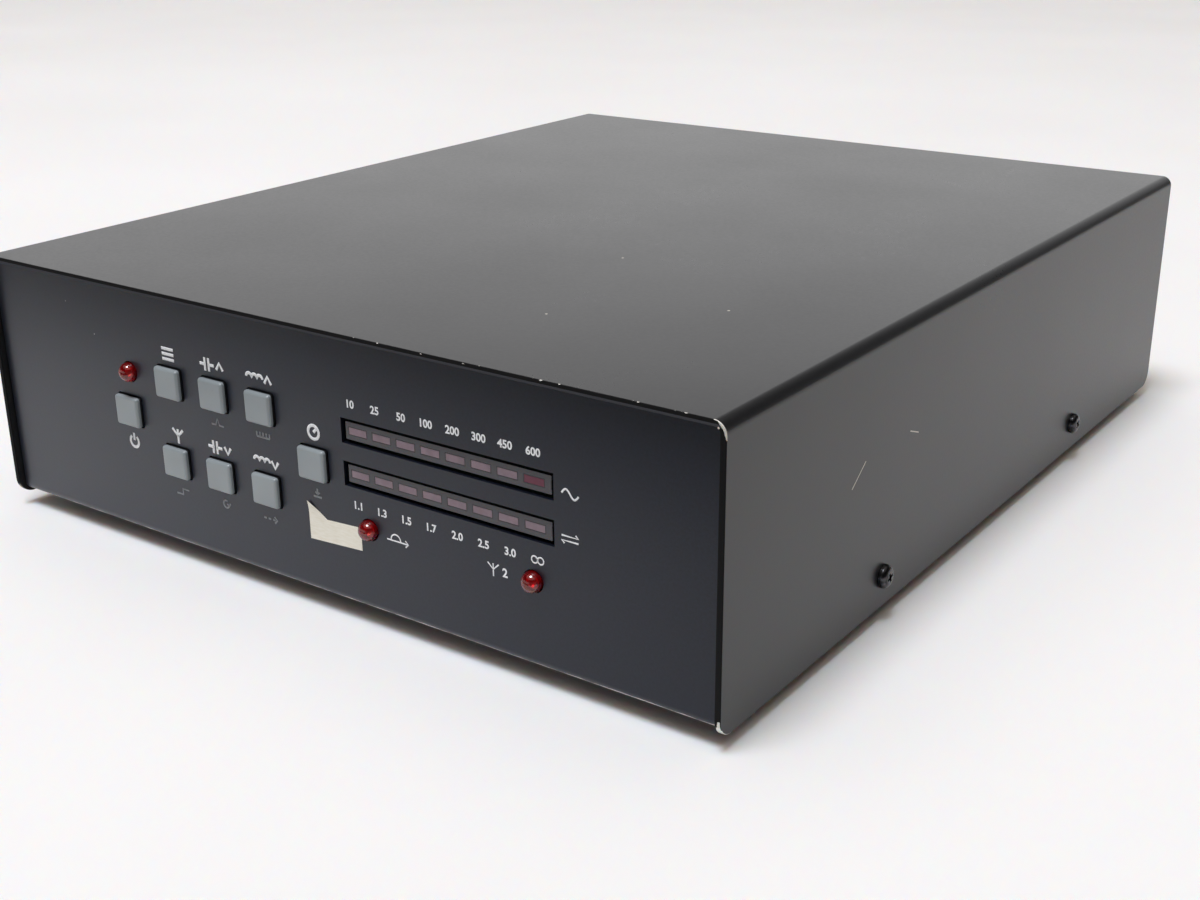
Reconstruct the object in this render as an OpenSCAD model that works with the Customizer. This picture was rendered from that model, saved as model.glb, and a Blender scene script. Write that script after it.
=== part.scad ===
// Automatic antenna tuner: a low sheet metal case with a row of push buttons, lamps and two bar meters
// in front, coaxial sockets, a ground terminal and small jacks behind, and relay switched coils inside.
// Millimetres. X is the width, Y runs from the front to the back, Z is up and 0 under the feet.

/* [Case] */
// Width over the cover
body_w = 254; // [240:1:300]
// Depth of the cover, front edge to rear edge
body_d = 300; // [280:1:340]
// Height of the cover, lower edge to top
cover_h = 76; // [70:1:100]
// Thickness of the folded sheet
sheet_t = 1.6; // [1.2:0.1:2]
// Outer radius of the long bends of the cover
cover_bend_r = 2.6; // [2.2:0.1:5]
// Overhang of the cover past the front and rear panels
cover_lip = 2; // [1:0.1:3]
// Radius of the lower corners of the cover
skirt_r = 5; // [2:0.5:7]
// Gap between the cover and the chassis
chassis_gap = 0.4; // [0.2:0.1:0.9]
// Height of the chassis floor above the lower edge of the cover
chassis_lift = 1.3; // [0.5:0.1:2.5]
// Outer radius of the bends of the chassis
chassis_bend_r = 2.4; // [2.2:0.1:4]
// Height of the side flanges of the chassis
flange_h = 16; // [14:0.5:25]
// Room left at the ends of the side flanges for bending
flange_relief = 4; // [2:0.5:8]

/* [Case screws and feet] */
// Distance between the two screws on a side
screw_span = 138.5; // [100:0.5:180]
// Height of the side screws above the lower edge of the cover
screw_rise = 9; // [8:0.5:11]
// Shank diameter of the side screws
screw_d = 3.4; // [3:0.1:4]
// Head diameter of the side screws
screw_head_d = 6.9; // [6:0.1:8]
// Head height of the side screws
screw_head_h = 2.4; // [1.8:0.1:3]
// Shank length of the side screws
screw_l = 8; // [7:0.5:9]
// Diameter of the clinch nuts behind the side screws
clinch_d = 7.4; // [6.5:0.1:8]
// Thickness of the clinch nuts
clinch_t = 2.4; // [2:0.1:3]
// Diameter of a rubber foot
foot_d = 15; // [12:0.5:20]
// Height of a rubber foot
foot_h = 5; // [4:0.5:12]
// How much narrower a foot is at the floor
foot_taper = 2; // [0.5:0.5:4]
// Distance of a foot's middle from the cover's edges
foot_inset = 20; // [18:1:40]

/* [Buttons] */
// Width of a button cap
cap_w = 9.4; // [8:0.1:10]
// Height of a button cap
cap_h = 8.8; // [8:0.1:9.6]
// How far a cap stands out of the panel
cap_proud = 1.9; // [1.5:0.1:3]
// Depth of a cap, front to back
cap_l = 5; // [4.4:0.1:5.6]
// Rounding of the front edges of a cap
cap_edge_r = 0.9; // [0.3:0.1:1.4]
// Rounding of the corners of a cap
cap_corner_r = 0.8; // [0.3:0.1:1.5]
// Gap round a cap in its hole
cap_gap = 0.35; // [0.2:0.05:0.6]
// Middle column of the buttons, from the middle of the panel
button_x = -32.9; // [-36:0.1:-28]
// Middle row of the buttons, above the lower edge of the panel
button_z = 37.3; // [34:0.1:40]
// Distance between the three inner columns
column_pitch = 17.75; // [16:0.05:18.5]
// Distance from an inner column to the outer column
side_pitch = 18.3; // [16:0.1:19]
// Distance between the rows
row_pitch = 11.6; // [11:0.1:13]
// Travel of a button
press = 0.5; // [0.2:0.05:0.6]
// Diameter of a plunger
plunger_d = 3.2; // [2.6:0.1:4]
// Running clearance of a plunger, on the radius
run_gap = 0.08; // [0.03:0.01:0.1]
// How far a plunger sits in its cap
plunger_grip = 2.4; // [1.5:0.1:2.8]
// Diameter of the collar that keeps a plunger in its switch
collar_d = 6; // [5:0.1:7]
// Thickness of the collar
collar_t = 1; // [0.6:0.1:1.2]
// Width and height of a switch
switch_w = 11; // [9:0.1:11.4]
// Room behind a collar for the snap dome of its switch
dome_room = 1; // [0.6:0.1:1.2]
// Thickness of the walls of a switch
switch_wall = 0.8; // [0.6:0.1:1]

/* [Lamps and meters] */
// Diameter of a lamp
lamp_d = 5.5; // [4.8:0.1:5.7]
// How far a lamp stands out of the panel
lamp_proud = 3.2; // [2.8:0.1:5]
// Gap round a lamp in its hole
lamp_gap = 0.3; // [0.1:0.05:0.4]
// Diameter of the rim at the back of a lamp
lamp_rim_d = 6.8; // [6.6:0.1:7.5]
// Thickness of the rim of a lamp
lamp_rim_t = 1; // [0.6:0.1:1.5]
// Thickness of a lamp's leads
lead_t = 0.6; // [0.4:0.1:0.8]
// Distance between a lamp's leads
lead_pitch = 2.54; // [2:0.02:3]
// Power lamp, from the middle of the panel
power_lamp_x = -67.7; // [-72:0.1:-62]
// Power lamp, above the lower edge of the panel
power_lamp_z = 48.9; // [48:0.1:52]
// Bypass lamp, from the middle of the panel
bypass_lamp_x = 21.2; // [20.8:0.1:30]
// Antenna lamp, from the middle of the panel
antenna_lamp_x = 73.7; // [60:0.1:80]
// The two lower lamps, above the lower edge of the panel
low_lamp_z = 23; // [20:0.1:24]
// Width of a meter slot
slot_w = 66.8; // [62:0.1:70]
// Height of a meter slot
slot_h = 6.8; // [6:0.1:8]
// Middle of the meter slots, from the middle of the panel
slot_x = 46.9; // [45:0.1:52]
// Middle between the two meter slots, above the lower edge of the panel
slot_z = 42.8; // [42:0.1:46]
// Distance between the two meter slots
slot_pitch = 11.65; // [10:0.05:13]
// Gap round a meter bar in its slot
bar_gap = 1.05; // [0.4:0.05:1.3]
// How far a meter bar's face lies behind the face of the panel
bar_recess = 0.65; // [0.3:0.05:2]
// Segments in a meter bar
segments = 8; // [6:1:8]
// Width of a segment
segment_w = 5.8; // [4:0.1:6.5]
// Height of a segment
segment_h = 1.8; // [1.2:0.1:2.6]
// Distance between segments
segment_pitch = 7.95; // [7:0.05:8]
// Depth of a segment
segment_t = 2; // [1:0.1:3]
// Middle of the segments, from the middle of their slot
segment_shift = -0.5; // [-1:0.1:1]
// Clearance round a segment
segment_gap = 0.05; // [0.02:0.01:0.1]

/* [Paper tape on the panel] */
// Left end of the tape, from the middle of the panel
tape_x = -0.3; // [-3:0.1:-0.2]
// Lower left corner of the tape, above the lower edge of the panel
tape_z = 15.3; // [12:0.1:16]
// Length of the tape
tape_l = 18.5; // [15:0.1:18.6]
// Width of the tape
tape_w = 6.4; // [5:0.1:7]
// Height of its torn left end
tape_peak = 10.9; // [8:0.1:11]
// Length of the torn end
tape_torn = 6.5; // [4:0.1:8]
// Rise of the tape along its length
tape_rise = 1.1; // [0:0.1:2]
// Thickness of the tape
tape_t = 0.15; // [0.1:0.05:0.3]

/* [Boards] */
// Thickness of the circuit boards
pcb_t = 1.6; // [1.2:0.1:2]
// Space between the front panel and the display board
display_gap = 7.4; // [6.8:0.1:7.8]
// Edge of the display board beyond the outermost controls
display_edge = 14; // [12:0.5:18]
// Distance of the display board's studs from its edges
stud_inset = 5; // [4:0.5:6]
// Diameter of the display board's studs
panel_stud_d = 3; // [2.5:0.1:3.5]
// Outer diameter of the spacers on those studs
spacer_d = 6; // [5:0.1:7]
// Thickness of the nuts on those studs
small_nut_t = 2.4; // [2:0.1:3]
// Width across the corners of a small nut
small_nut_d = 6.4; // [6:0.1:7]
// Reach of a stud or screw past its small nut
nut_past = 1; // [0.4:0.1:2]
// Width of the main board
board_w = 220; // [210:1:224]
// Distance from the front panel to the main board
board_setback = 28; // [26:0.5:34]
// Gap from the main board to the rear panel
board_rear_gap = 1; // [0.5:0.1:2]
// Height of the standoffs under the main board
standoff_h = 10.5; // [10:0.5:14]
// Width across the corners of a standoff
standoff_d = 7; // [6:0.1:8]
// Distance of the standoffs from the edges of the main board
standoff_inset = 8; // [6:0.5:12]
// Diameter of the board screws
board_screw_d = 3; // [2.5:0.1:3.5]
// Length of the board screws below their heads
board_screw_l = 6; // [5:0.5:7]
// Head diameter of the board screws
board_head_d = 5.6; // [5:0.1:6.4]
// Head height of the board screws
board_head_h = 2.1; // [1.6:0.1:2.6]
// Clearance of shanks in their holes, on the radius
shank_gap = 0.1; // [0.05:0.01:0.2]
// Width of the ribbon cable
ribbon_w = 26; // [20:1:34]
// Thickness of the ribbon cable
ribbon_t = 1.2; // [0.8:0.1:1.5]
// Bend radius of the ribbon cable, at its middle
ribbon_bend = 6; // [4:0.5:8]
// Straight run of the ribbon cable behind the display board
ribbon_run = 14; // [12:0.5:20]
// Middle of the ribbon cable, from the middle of the case
ribbon_x = -14; // [-30:1:10]
// Height of the ribbon cable above the lower edge of the panel
ribbon_z = 44; // [40:0.5:48]
// Height of the ribbon cable's headers
header_h = 9; // [7:0.5:10]
// Width of the ribbon cable's headers beyond the cable
header_edge = 3; // [2:0.5:5]
// Thickness of the ribbon cable's headers
header_t = 7; // [6:0.5:9]

/* [Parts on the main board] */
// Relays in the row
relays_n = 16; // [12:1:16]
// Distance between relays
relay_pitch = 12.6; // [12:0.1:13]
// Width of a relay
relay_w = 10; // [9:0.1:11]
// Length of a relay
relay_l = 28; // [24:0.5:30]
// Height of a relay
relay_h = 24; // [18:0.5:28]
// Relay row behind the front edge of the main board
relay_y = 108; // [104:1:112]
// Coils in the row
coils_n = 4; // [3:1:4]
// Distance between coils
coil_pitch = 46; // [44:0.5:50]
// Coil row behind the front edge of the main board
coil_y = 160; // [158:1:166]
// Outer diameter of a coil's core
core_d = 36; // [30:0.5:38]
// Inner diameter of a coil's core
core_bore = 20; // [16:0.5:22]
// Height of a coil's core
core_h = 12; // [8:0.5:14]
// Thickness of the wire wound on a core
wire_t = 1.5; // [1:0.1:2]
// Angle that the winding covers
wound_angle = 310; // [240:5:340]
// Clearance between a core and its winding
wound_gap = 0.1; // [0.05:0.01:0.2]
// Capacitors in the row
capacitors_n = 12; // [8:1:12]
// Distance between capacitors
capacitor_pitch = 15; // [12:0.5:16]
// Width of a capacitor
capacitor_w = 11; // [8:0.5:11.5]
// Thickness of a capacitor
capacitor_t = 5; // [4:0.5:7]
// Height of a capacitor
capacitor_h = 15; // [10:0.5:18]
// Capacitor row behind the front edge of the main board
capacitor_y = 72; // [68:1:76]
// Diameter of a filter capacitor
filter_d = 10; // [8:0.5:12]
// Height of a filter capacitor
filter_h = 16; // [12:0.5:22]
// First filter capacitor, from the middle of the case
filter_x = 55; // [40:1:70]
// Distance between the filter capacitors
filter_pitch = 15; // [13:0.5:18]
// Length of the controller chip
chip_l = 52; // [36:1:54]
// Width of the controller chip
chip_w = 14; // [10:0.5:16]
// Thickness of the controller chip
chip_t = 4; // [3:0.1:5]
// Diameter of the notch in the end of the controller chip
chip_notch = 3.5; // [2:0.1:4]
// Middle of the controller chip, from the middle of the case
chip_x = -55; // [-70:1:-45]
// Controller row behind the front edge of the main board
chip_y = 38; // [36:0.5:42]
// Rounding of the corners of the relays and capacitors
part_corner_r = 1; // [0.4:0.1:1.5]
// Outer diameter of the sensing ring
sense_d = 22; // [18:0.5:24]
// Inner diameter of the sensing ring
sense_bore = 11; // [8:0.5:12]
// Height of the sensing ring
sense_h = 9; // [6:0.5:10]

/* [Coaxial sockets] */
// Outer diameter of the threaded barrel
socket_d = 15.875; // [15:0.005:17]
// Reach of a socket behind the rear panel
socket_reach = 16; // [14:0.5:20]
// Width of the square flange
socket_flange = 25.4; // [24:0.1:28]
// Thickness of the flange
socket_flange_t = 2.5; // [2:0.1:3.5]
// Rounding of the flange's corners
socket_flange_r = 2; // [1:0.1:3]
// Distance between the flange screws
socket_holes = 18.26; // [18:0.02:19]
// Diameter of the flange screws
flange_screw_d = 2.8; // [2.4:0.1:3]
// Head diameter of the flange screws
flange_head_d = 5.4; // [4.8:0.1:5.8]
// Head height of the flange screws
flange_head_h = 1.8; // [1.4:0.1:2.2]
// Diameter of the boss that passes through the panel
socket_boss_d = 14.8; // [14:0.1:15]
// Reach of the boss inside the rear panel
socket_boss_l = 2; // [1:0.1:4]
// Diameter of the cup inside the barrel
cup_d = 12.8; // [12:0.1:13.4]
// Open depth of the cup
cup_l = 5; // [4:0.1:7]
// Diameter of the insulator's head
insulator_d = 11.6; // [10.6:0.1:11.8]
// Thickness of the insulator's head
insulator_t = 4; // [3:0.1:5]
// Diameter of the insulator's stem
stem_d = 8; // [7.4:0.1:9]
// Reach of the insulator beyond the boss
stem_reach = 1.5; // [1:0.1:3]
// Diameter of the centre contact
contact_d = 5.6; // [5.2:0.1:6]
// Diameter of the hole in the centre contact
contact_bore = 4.1; // [3.9:0.05:4.4]
// Depth of the hole in the centre contact
contact_l = 11; // [9:0.5:12]
// Diameter of the contact's solder pin
solder_d = 2.4; // [1.8:0.1:3]
// Length of the contact's solder pin
solder_l = 6; // [4:0.5:8]
// Clearance between the pieces of a socket, on the radius
socket_gap = 0.05; // [0.03:0.01:0.1]
// Radio socket, from the left side of the cover
socket_x = 41; // [37:0.5:47]
// Distance between sockets
socket_pitch = 40; // [36:0.5:44]
// Height of the sockets above the lower edge of the panel
socket_z = 40; // [38:0.5:46]
// Diameter of the socket leads
lead_d = 3.6; // [2.6:0.1:4.4]
// Straight run of a socket lead behind its contact
lead_run = 4; // [2:0.5:6]
// Bend radius of a socket lead
lead_bend = 8; // [6:0.5:10]

/* [Ground terminal] */
// Diameter of the ground stud
stud_d = 4.8; // [4:0.1:5.2]
// Width across the corners of the stud's head and nut
stud_nut_d = 10.8; // [9.5:0.1:12]
// Thickness of the stud's head and nut
stud_nut_t = 3.2; // [2.5:0.1:4]
// Diameter of the washer
washer_d = 12; // [10:0.5:14]
// Thickness of the washer
washer_t = 1; // [0.8:0.1:1.5]
// Diameter of the wing nut's hub at its foot
hub_d = 9.6; // [8.6:0.1:11]
// Diameter of the wing nut's hub at its top
hub_top_d = 8.2; // [7.4:0.1:8.5]
// Height of the wing nut's hub
hub_h = 5.5; // [5:0.1:7]
// Span of the wing nut
wing_span = 23; // [20:0.5:26]
// Rise of the wings' tips above the hub's foot
wing_rise = 6.6; // [6:0.1:7.5]
// Radius of the wings' tips
wing_tip_r = 2.7; // [2:0.1:3]
// Thickness of the wings
wing_t = 2.2; // [1.6:0.1:3]
// Distance of the wings' roots from the ends of the hub
wing_root = 0.55; // [0.3:0.05:1]
// Lean of the wings' edges
wing_lean = 60; // [50:1:70]
// Turn of the wing nut at rest
wing_turn = 24; // [0:1:90]
// Length of the stud's plain tip beyond the hub
stud_free = 5; // [4:0.5:6]
// Diameter of the stud's plain tip
stud_tip_d = 4.4; // [3.8:0.1:4.6]
// Ground terminal, from the right side of the cover
ground_x = 93; // [89:0.5:97]
// Height of the ground terminal above the lower edge of the panel
ground_z = 24; // [22:0.5:40]

/* [Jacks] */
// Outer diameter of a signal jack's nose
jack_d = 6; // [5.4:0.1:6.6]
// Hole of a signal jack
jack_bore = 3.6; // [3.55:0.05:3.8]
// Depth of a signal jack's hole
jack_bore_l = 14; // [12:0.5:15]
// Reach of a signal jack's nose behind the rear panel
jack_reach = 3.2; // [2.6:0.1:4]
// Width of a jack's body
jack_w = 12; // [10:0.5:14]
// Depth of a jack's body
jack_l = 14; // [13:0.5:16]
// Height of a signal jack's body
jack_h = 9; // [8:0.5:10]
// Outer diameter of a jack's ring nut
jack_nut_d = 9; // [8:0.1:10]
// Thickness of a jack's ring nut
jack_nut_t = 2; // [1.5:0.1:2.4]
// First signal jack, from the right side of the cover
jack_x = 67; // [65:0.5:71]
// Distance between the signal jacks
jack_pitch = 18; // [16:0.5:19]
// Power jack, from the right side of the cover
power_jack_x = 29; // [25:0.5:31]
// Outer diameter of the power jack's nose
power_jack_d = 8.4; // [8:0.1:10]
// Hole of the power jack
power_bore = 5.8; // [5.6:0.1:6.4]
// Depth of the power jack's hole
power_bore_l = 10; // [8:0.5:11]
// Diameter of the power jack's pin
power_pin_d = 2; // [1.6:0.1:2.5]
// How far the pin's tip lies inside the hole
power_pin_set = 1; // [0.5:0.1:2]
// Length of the pin's root, sunk in the bottom of the hole
power_pin_root = 3; // [2:0.5:4]
// Diameter of the pin's root
power_root_d = 1.5; // [1.2:0.1:1.6]
// Height of the power jack's body
power_jack_h = 11; // [10:0.5:13]
// Reach of the power jack's nose behind the rear panel
power_jack_reach = 0.6; // [0.2:0.1:1.5]
// Clearance of a nose in the rear panel, on the radius
nose_gap = 0.3; // [0.2:0.05:0.5]

/* [Hidden] */
$fn = 48;
// Reach of a cut past the surface that it opens
past = 1;
// Pan head: rounding and recess depth as shares of its height, the recess as shares of its width
head_round = 0.6;
recess_depth = 0.55;
recess_t = 0.16;
recess_l = 0.56;
// Turn of the recesses of the side screws and of the flange screws
side_screw_turn = 30;
flange_screw_turn = 20;

// Levels: floor of the room, underside of the chassis, lower edge and top of the cover
chassis_z = foot_h;
cover_z = chassis_z - chassis_lift;
cover_top = cover_z + cover_h;
chassis_top = cover_top - sheet_t - chassis_gap;
floor_z = chassis_z + sheet_t;
board_z = floor_z + standoff_h;
board_top = board_z + pcb_t;
function panel_z(h) = chassis_z + h;

// Reach of the controls in front and of the terminals behind, past the edges of the cover
stud_reach = stud_nut_t + washer_t + hub_h + stud_free;
front_reach = max(cap_proud, lamp_proud, cover_lip) - cover_lip;
rear_reach = max(socket_reach, stud_reach, cover_lip) - cover_lip;
front_y = (front_reach - body_d - rear_reach) / 2;
rear_edge = front_y + body_d;
panel_y = front_y + cover_lip;
panel_in = panel_y + sheet_t;
rear_y = rear_edge - cover_lip;
rear_in = rear_y - sheet_t;
chassis_w = body_w - 2 * (sheet_t + chassis_gap);

// Display board and what it carries
display_y = panel_in + display_gap;
display_back = display_y + pcb_t;
switch_t = 2 * switch_wall + run_gap + collar_t + press + dome_room;
switch_y = display_y - switch_t;
cap_front = panel_y - cap_proud;
cap_back = cap_front + cap_l;
bar_y = panel_y + bar_recess;
upper_row = button_z + row_pitch;
lower_row = button_z - row_pitch;
left_column = button_x - column_pitch - side_pitch;
right_column = button_x + column_pitch + side_pitch;
display_x0 = left_column - cap_w / 2 - display_edge;
display_x1 = slot_x + slot_w / 2 + display_edge;
display_z0 = min(low_lamp_z, lower_row) - display_edge;
display_z1 = max(upper_row, power_lamp_z) + display_edge;

// Sockets from the insulator in to the place where a lead meets the board
insulator_y = rear_y + socket_reach - cup_l;
insulator_end = rear_in - socket_boss_l - stem_reach;
lead_y = insulator_end - solder_l;
lead_land_y = lead_y - lead_run - lead_bend;

// Main board, with its rear standoffs in front of the sensing ring
board_y0 = panel_in + board_setback;
board_y1 = rear_in - board_rear_gap;
standoff_rows = [board_y0 + standoff_inset, (board_y0 + board_y1) / 2,
    lead_land_y - sense_d / 2 - standoff_inset];

// Buttons as their column and row
buttons = [
    [left_column, button_z],
    [button_x - column_pitch, upper_row],
    [button_x, upper_row],
    [button_x + column_pitch, upper_row],
    [button_x - column_pitch, lower_row],
    [button_x, lower_row],
    [button_x + column_pitch, lower_row],
    [right_column, button_z]
];
lamps = [
    [power_lamp_x, power_lamp_z],
    [bypass_lamp_x, low_lamp_z],
    [antenna_lamp_x, low_lamp_z]
];
meter_rows = [slot_z + slot_pitch / 2, slot_z - slot_pitch / 2];
sockets = [for (i = [0:2]) socket_x - body_w / 2 + i * socket_pitch];
stud_x = body_w / 2 - ground_x;
signal_jacks_x = [for (i = [0, 1]) body_w / 2 - jack_x + i * jack_pitch];
power_x = body_w / 2 - power_jack_x;
signal_jack_z = board_top + jack_h / 2;
power_jack_z = board_top + power_jack_h / 2;
feet_at = [for (x = [-1, 1], y = [front_y + foot_inset, rear_edge - foot_inset])
    [x * (body_w / 2 - foot_inset), y]];
side_screws_y = [for (s = [-1, 1]) front_y + body_d / 2 + s * screw_span / 2];
side_screw_z = cover_z + screw_rise;
standoffs_at = [for (x = [-1, 1], y = standoff_rows) [x * (board_w / 2 - standoff_inset), y]];
display_studs_at = [for (x = [display_x0 + stud_inset, display_x1 - stud_inset],
    z = [display_z0 + stud_inset, display_z1 - stud_inset]) [x, z]];
flange_holes = [for (x = [-1, 1], z = [-1, 1]) [x * socket_holes / 2, z * socket_holes / 2]];

// Flat outline drawn in X and Z, made into a slab that runs from y to y + t
module slab_y(y, t) {
    translate([0, y + t, 0]) rotate([90, 0, 0]) linear_extrude(t) children();
}

// Flat outline drawn in Y and Z, made into a slab that runs from x to x + t
module slab_x(x, t) {
    translate([x, 0, 0]) rotate([90, 0, 90]) linear_extrude(t) children();
}

// Round bar along Y from y to y + l
module rod_y(x, y, z, l, d) {
    translate([x, y, z]) rotate([-90, 0, 0]) cylinder(h = l, d = d);
}

// Rectangle from low to high with the two upper corners rounded
module arch(x0, x1, z0, z1, r) {
    translate([x0, z0]) square([x1 - x0, z1 - z0 - r]);
    translate([x0 + r, z0]) square([x1 - x0 - 2 * r, z1 - z0]);
    for (x = [x0 + r, x1 - r]) translate([x, z1 - r]) circle(r);
}

// The same with the two lower corners rounded
module tub(x0, x1, z0, z1, r) {
    translate([x0, z0 + r]) square([x1 - x0, z1 - z0 - r]);
    translate([x0 + r, z0]) square([x1 - x0 - 2 * r, z1 - z0]);
    for (x = [x0 + r, x1 - r]) translate([x, z0 + r]) circle(r);
}

// Rectangle about the middle with all corners rounded
module plate(w, h, r) {
    square([w, h - 2 * r], center = true);
    square([w - 2 * r, h], center = true);
    for (x = [-1, 1], y = [-1, 1]) translate([x * (w / 2 - r), y * (h / 2 - r)]) circle(r);
}

// Pan head screw that points down from its seat at the origin, with a cross recess
module pan_screw(d, l, head_d, head_h) {
    edge = head_h * head_round;
    cross_t = head_d * recess_t;
    cross_l = head_d * recess_l;
    cross_depth = head_h * recess_depth;
    difference() {
        union() {
            rotate_extrude() {
                square([head_d / 2 - edge, head_h]);
                square([head_d / 2, head_h - edge]);
                intersection() {
                    translate([head_d / 2 - edge, head_h - edge]) circle(edge);
                    square([head_d, head_h]);
                }
            }
            translate([0, 0, -l]) cylinder(h = l, d = d);
        }
        for (a = [0, 90]) rotate(a) translate([-cross_l / 2, -cross_t / 2, head_h - cross_depth])
            cube([cross_l, cross_t, cross_depth + past]);
    }
}

// Six sided nut on the Z axis, standing on the origin
module hex_nut(d, t, bore) {
    difference() {
        cylinder(h = t, d = d, $fn = 6);
        translate([0, 0, -past]) cylinder(h = t + 2 * past, d = bore);
    }
}

// Plain ring on the Z axis, standing on the origin
module ring(d, bore, h) {
    difference() {
        cylinder(h = h, d = d);
        translate([0, 0, -past]) cylinder(h = h + 2 * past, d = bore);
    }
}

// Chassis: front panel, floor and rear panel folded from one sheet, with two low side flanges
module chassis() color("#2c2d31") difference() {
    union() {
        slab_x(-chassis_w / 2, chassis_w) difference() {
            tub(panel_y, rear_y, chassis_z, chassis_top, chassis_bend_r);
            tub(panel_in, rear_in, floor_z, chassis_top + past, chassis_bend_r - sheet_t);
        }
        for (x = [-chassis_w / 2, chassis_w / 2 - sheet_t])
            translate([x, panel_in + flange_relief, chassis_z])
                cube([sheet_t, rear_in - panel_in - 2 * flange_relief, flange_h]);
    }
    slab_y(panel_y - past, sheet_t + 2 * past) front_holes();
    slab_y(rear_in - past, sheet_t + 2 * past) rear_holes();
    for (y = side_screws_y) translate([-body_w, y, side_screw_z]) rotate([0, 90, 0])
        cylinder(h = 2 * body_w, d = screw_d + 2 * shank_gap);
    for (p = standoffs_at) translate([p[0], p[1], chassis_z - past])
        cylinder(h = sheet_t + 2 * past, d = board_screw_d + 2 * shank_gap);
}

// Openings of the front panel
module front_holes() {
    for (b = buttons) translate([b[0], panel_z(b[1])])
        plate(cap_w + 2 * cap_gap, cap_h + 2 * cap_gap, cap_corner_r + cap_gap / 2);
    for (p = lamps) translate([p[0], panel_z(p[1])]) circle(d = lamp_d + 2 * lamp_gap);
    for (z = meter_rows) translate([slot_x, panel_z(z)]) square([slot_w, slot_h], center = true);
}

// Openings of the rear panel
module rear_holes() {
    for (x = sockets) translate([x, panel_z(socket_z)]) {
        circle(d = socket_boss_d + 2 * nose_gap);
        for (p = flange_holes) translate(p) circle(d = flange_screw_d + 2 * shank_gap);
    }
    translate([stud_x, panel_z(ground_z)]) circle(d = stud_d + 2 * shank_gap);
    for (x = signal_jacks_x) translate([x, signal_jack_z]) circle(d = jack_d + 2 * nose_gap);
    translate([power_x, power_jack_z]) circle(d = power_jack_d + 2 * nose_gap);
}

// Cover: top and two sides folded from one sheet, with rounded lower corners
module cover() color("#4a4b4e") difference() {
    intersection() {
        slab_y(front_y, body_d) difference() {
            arch(-body_w / 2, body_w / 2, cover_z, cover_top, cover_bend_r);
            arch(-body_w / 2 + sheet_t, body_w / 2 - sheet_t, cover_z - past,
                cover_top - sheet_t, cover_bend_r - sheet_t);
        }
        slab_x(-body_w, 2 * body_w)
            tub(front_y, rear_edge, cover_z, cover_top, skirt_r);
    }
    for (y = side_screws_y) translate([-body_w, y, side_screw_z]) rotate([0, 90, 0])
        cylinder(h = 2 * body_w, d = screw_d + 4 * shank_gap);
}

// Side screws of the cover
module cover_screws() color("#1c1c1e") for (s = [-1, 1], y = side_screws_y)
    translate([s * body_w / 2, y, side_screw_z]) rotate([0, s * 90, 0]) rotate(side_screw_turn)
        pan_screw(screw_d, screw_l, screw_head_d, screw_head_h);

// Clinch nuts pressed on the inside of the side flanges
module clinch_nuts() color("silver") for (s = [-1, 1], y = side_screws_y)
    translate([s * (chassis_w / 2 - sheet_t), y, side_screw_z]) rotate([0, -s * 90, 0])
        ring(clinch_d, screw_d + 2 * shank_gap, clinch_t);

// Rubber feet under the floor
module feet() color("#18181a") for (p = feet_at) translate([p[0], p[1], 0])
    cylinder(h = foot_h, d1 = foot_d - foot_taper, d2 = foot_d);

// Button cap with rounded front edges and a blind hole for its plunger
module button(i) color("#8f9698") translate([buttons[i][0], 0, panel_z(buttons[i][1])]) difference() {
    intersection() {
        slab_y(cap_front, cap_l) plate(cap_w, cap_h, cap_corner_r);
        translate([0, 0, -cap_h]) linear_extrude(2 * cap_h)
            tub(-cap_w / 2, cap_w / 2, cap_front, cap_back, cap_edge_r);
        translate([-cap_w, 0, 0]) rotate([90, 0, 90]) linear_extrude(2 * cap_w)
            translate([0, -cap_h / 2]) cap_profile();
    }
    rod_y(0, cap_back - plunger_grip, 0, plunger_grip + past, plunger_d + 2 * run_gap);
}

// Side view of a cap, with its two front corners rounded
module cap_profile() {
    translate([cap_front + cap_edge_r, 0]) square([cap_l - cap_edge_r, cap_h]);
    translate([cap_front, cap_edge_r]) square([cap_l, cap_h - 2 * cap_edge_r]);
    for (z = [cap_edge_r, cap_h - cap_edge_r]) translate([cap_front + cap_edge_r, z]) circle(cap_edge_r);
}

// Plunger of a switch, with the collar that keeps it in
module plunger(i) color("#e4e2da") translate([buttons[i][0], 0, panel_z(buttons[i][1])]) {
    collar_y = switch_y + switch_wall + run_gap;
    tip_y = cap_back - plunger_grip + run_gap;
    rod_y(0, tip_y, 0, collar_y + collar_t - tip_y, plunger_d);
    rod_y(0, collar_y, 0, collar_t, collar_d);
}

// Push switches on the display board
module switches() color("#1d1d20") for (b = buttons) translate([b[0], 0, panel_z(b[1])]) difference() {
    slab_y(switch_y, switch_t) plate(switch_w, switch_w, switch_wall);
    rod_y(0, switch_y - past, 0, switch_t, plunger_d + 2 * run_gap);
    rod_y(0, switch_y + switch_wall, 0, switch_t - 2 * switch_wall, collar_d + 4 * run_gap);
}

// Domed lamps with a rim and two leads
module lamps() color("#a00f16") for (p = lamps) translate([p[0], 0, panel_z(p[1])]) {
    rim_y = panel_in + lamp_gap;
    dome_y = panel_y - lamp_proud + lamp_d / 2;
    rod_y(0, dome_y, 0, rim_y - dome_y, lamp_d);
    translate([0, dome_y, 0]) sphere(d = lamp_d);
    rod_y(0, rim_y, 0, lamp_rim_t, lamp_rim_d);
    for (s = [-1, 1]) translate([s * lead_pitch / 2 - lead_t / 2, rim_y, -lead_t / 2])
        cube([lead_t, display_y - rim_y, lead_t]);
}

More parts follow.
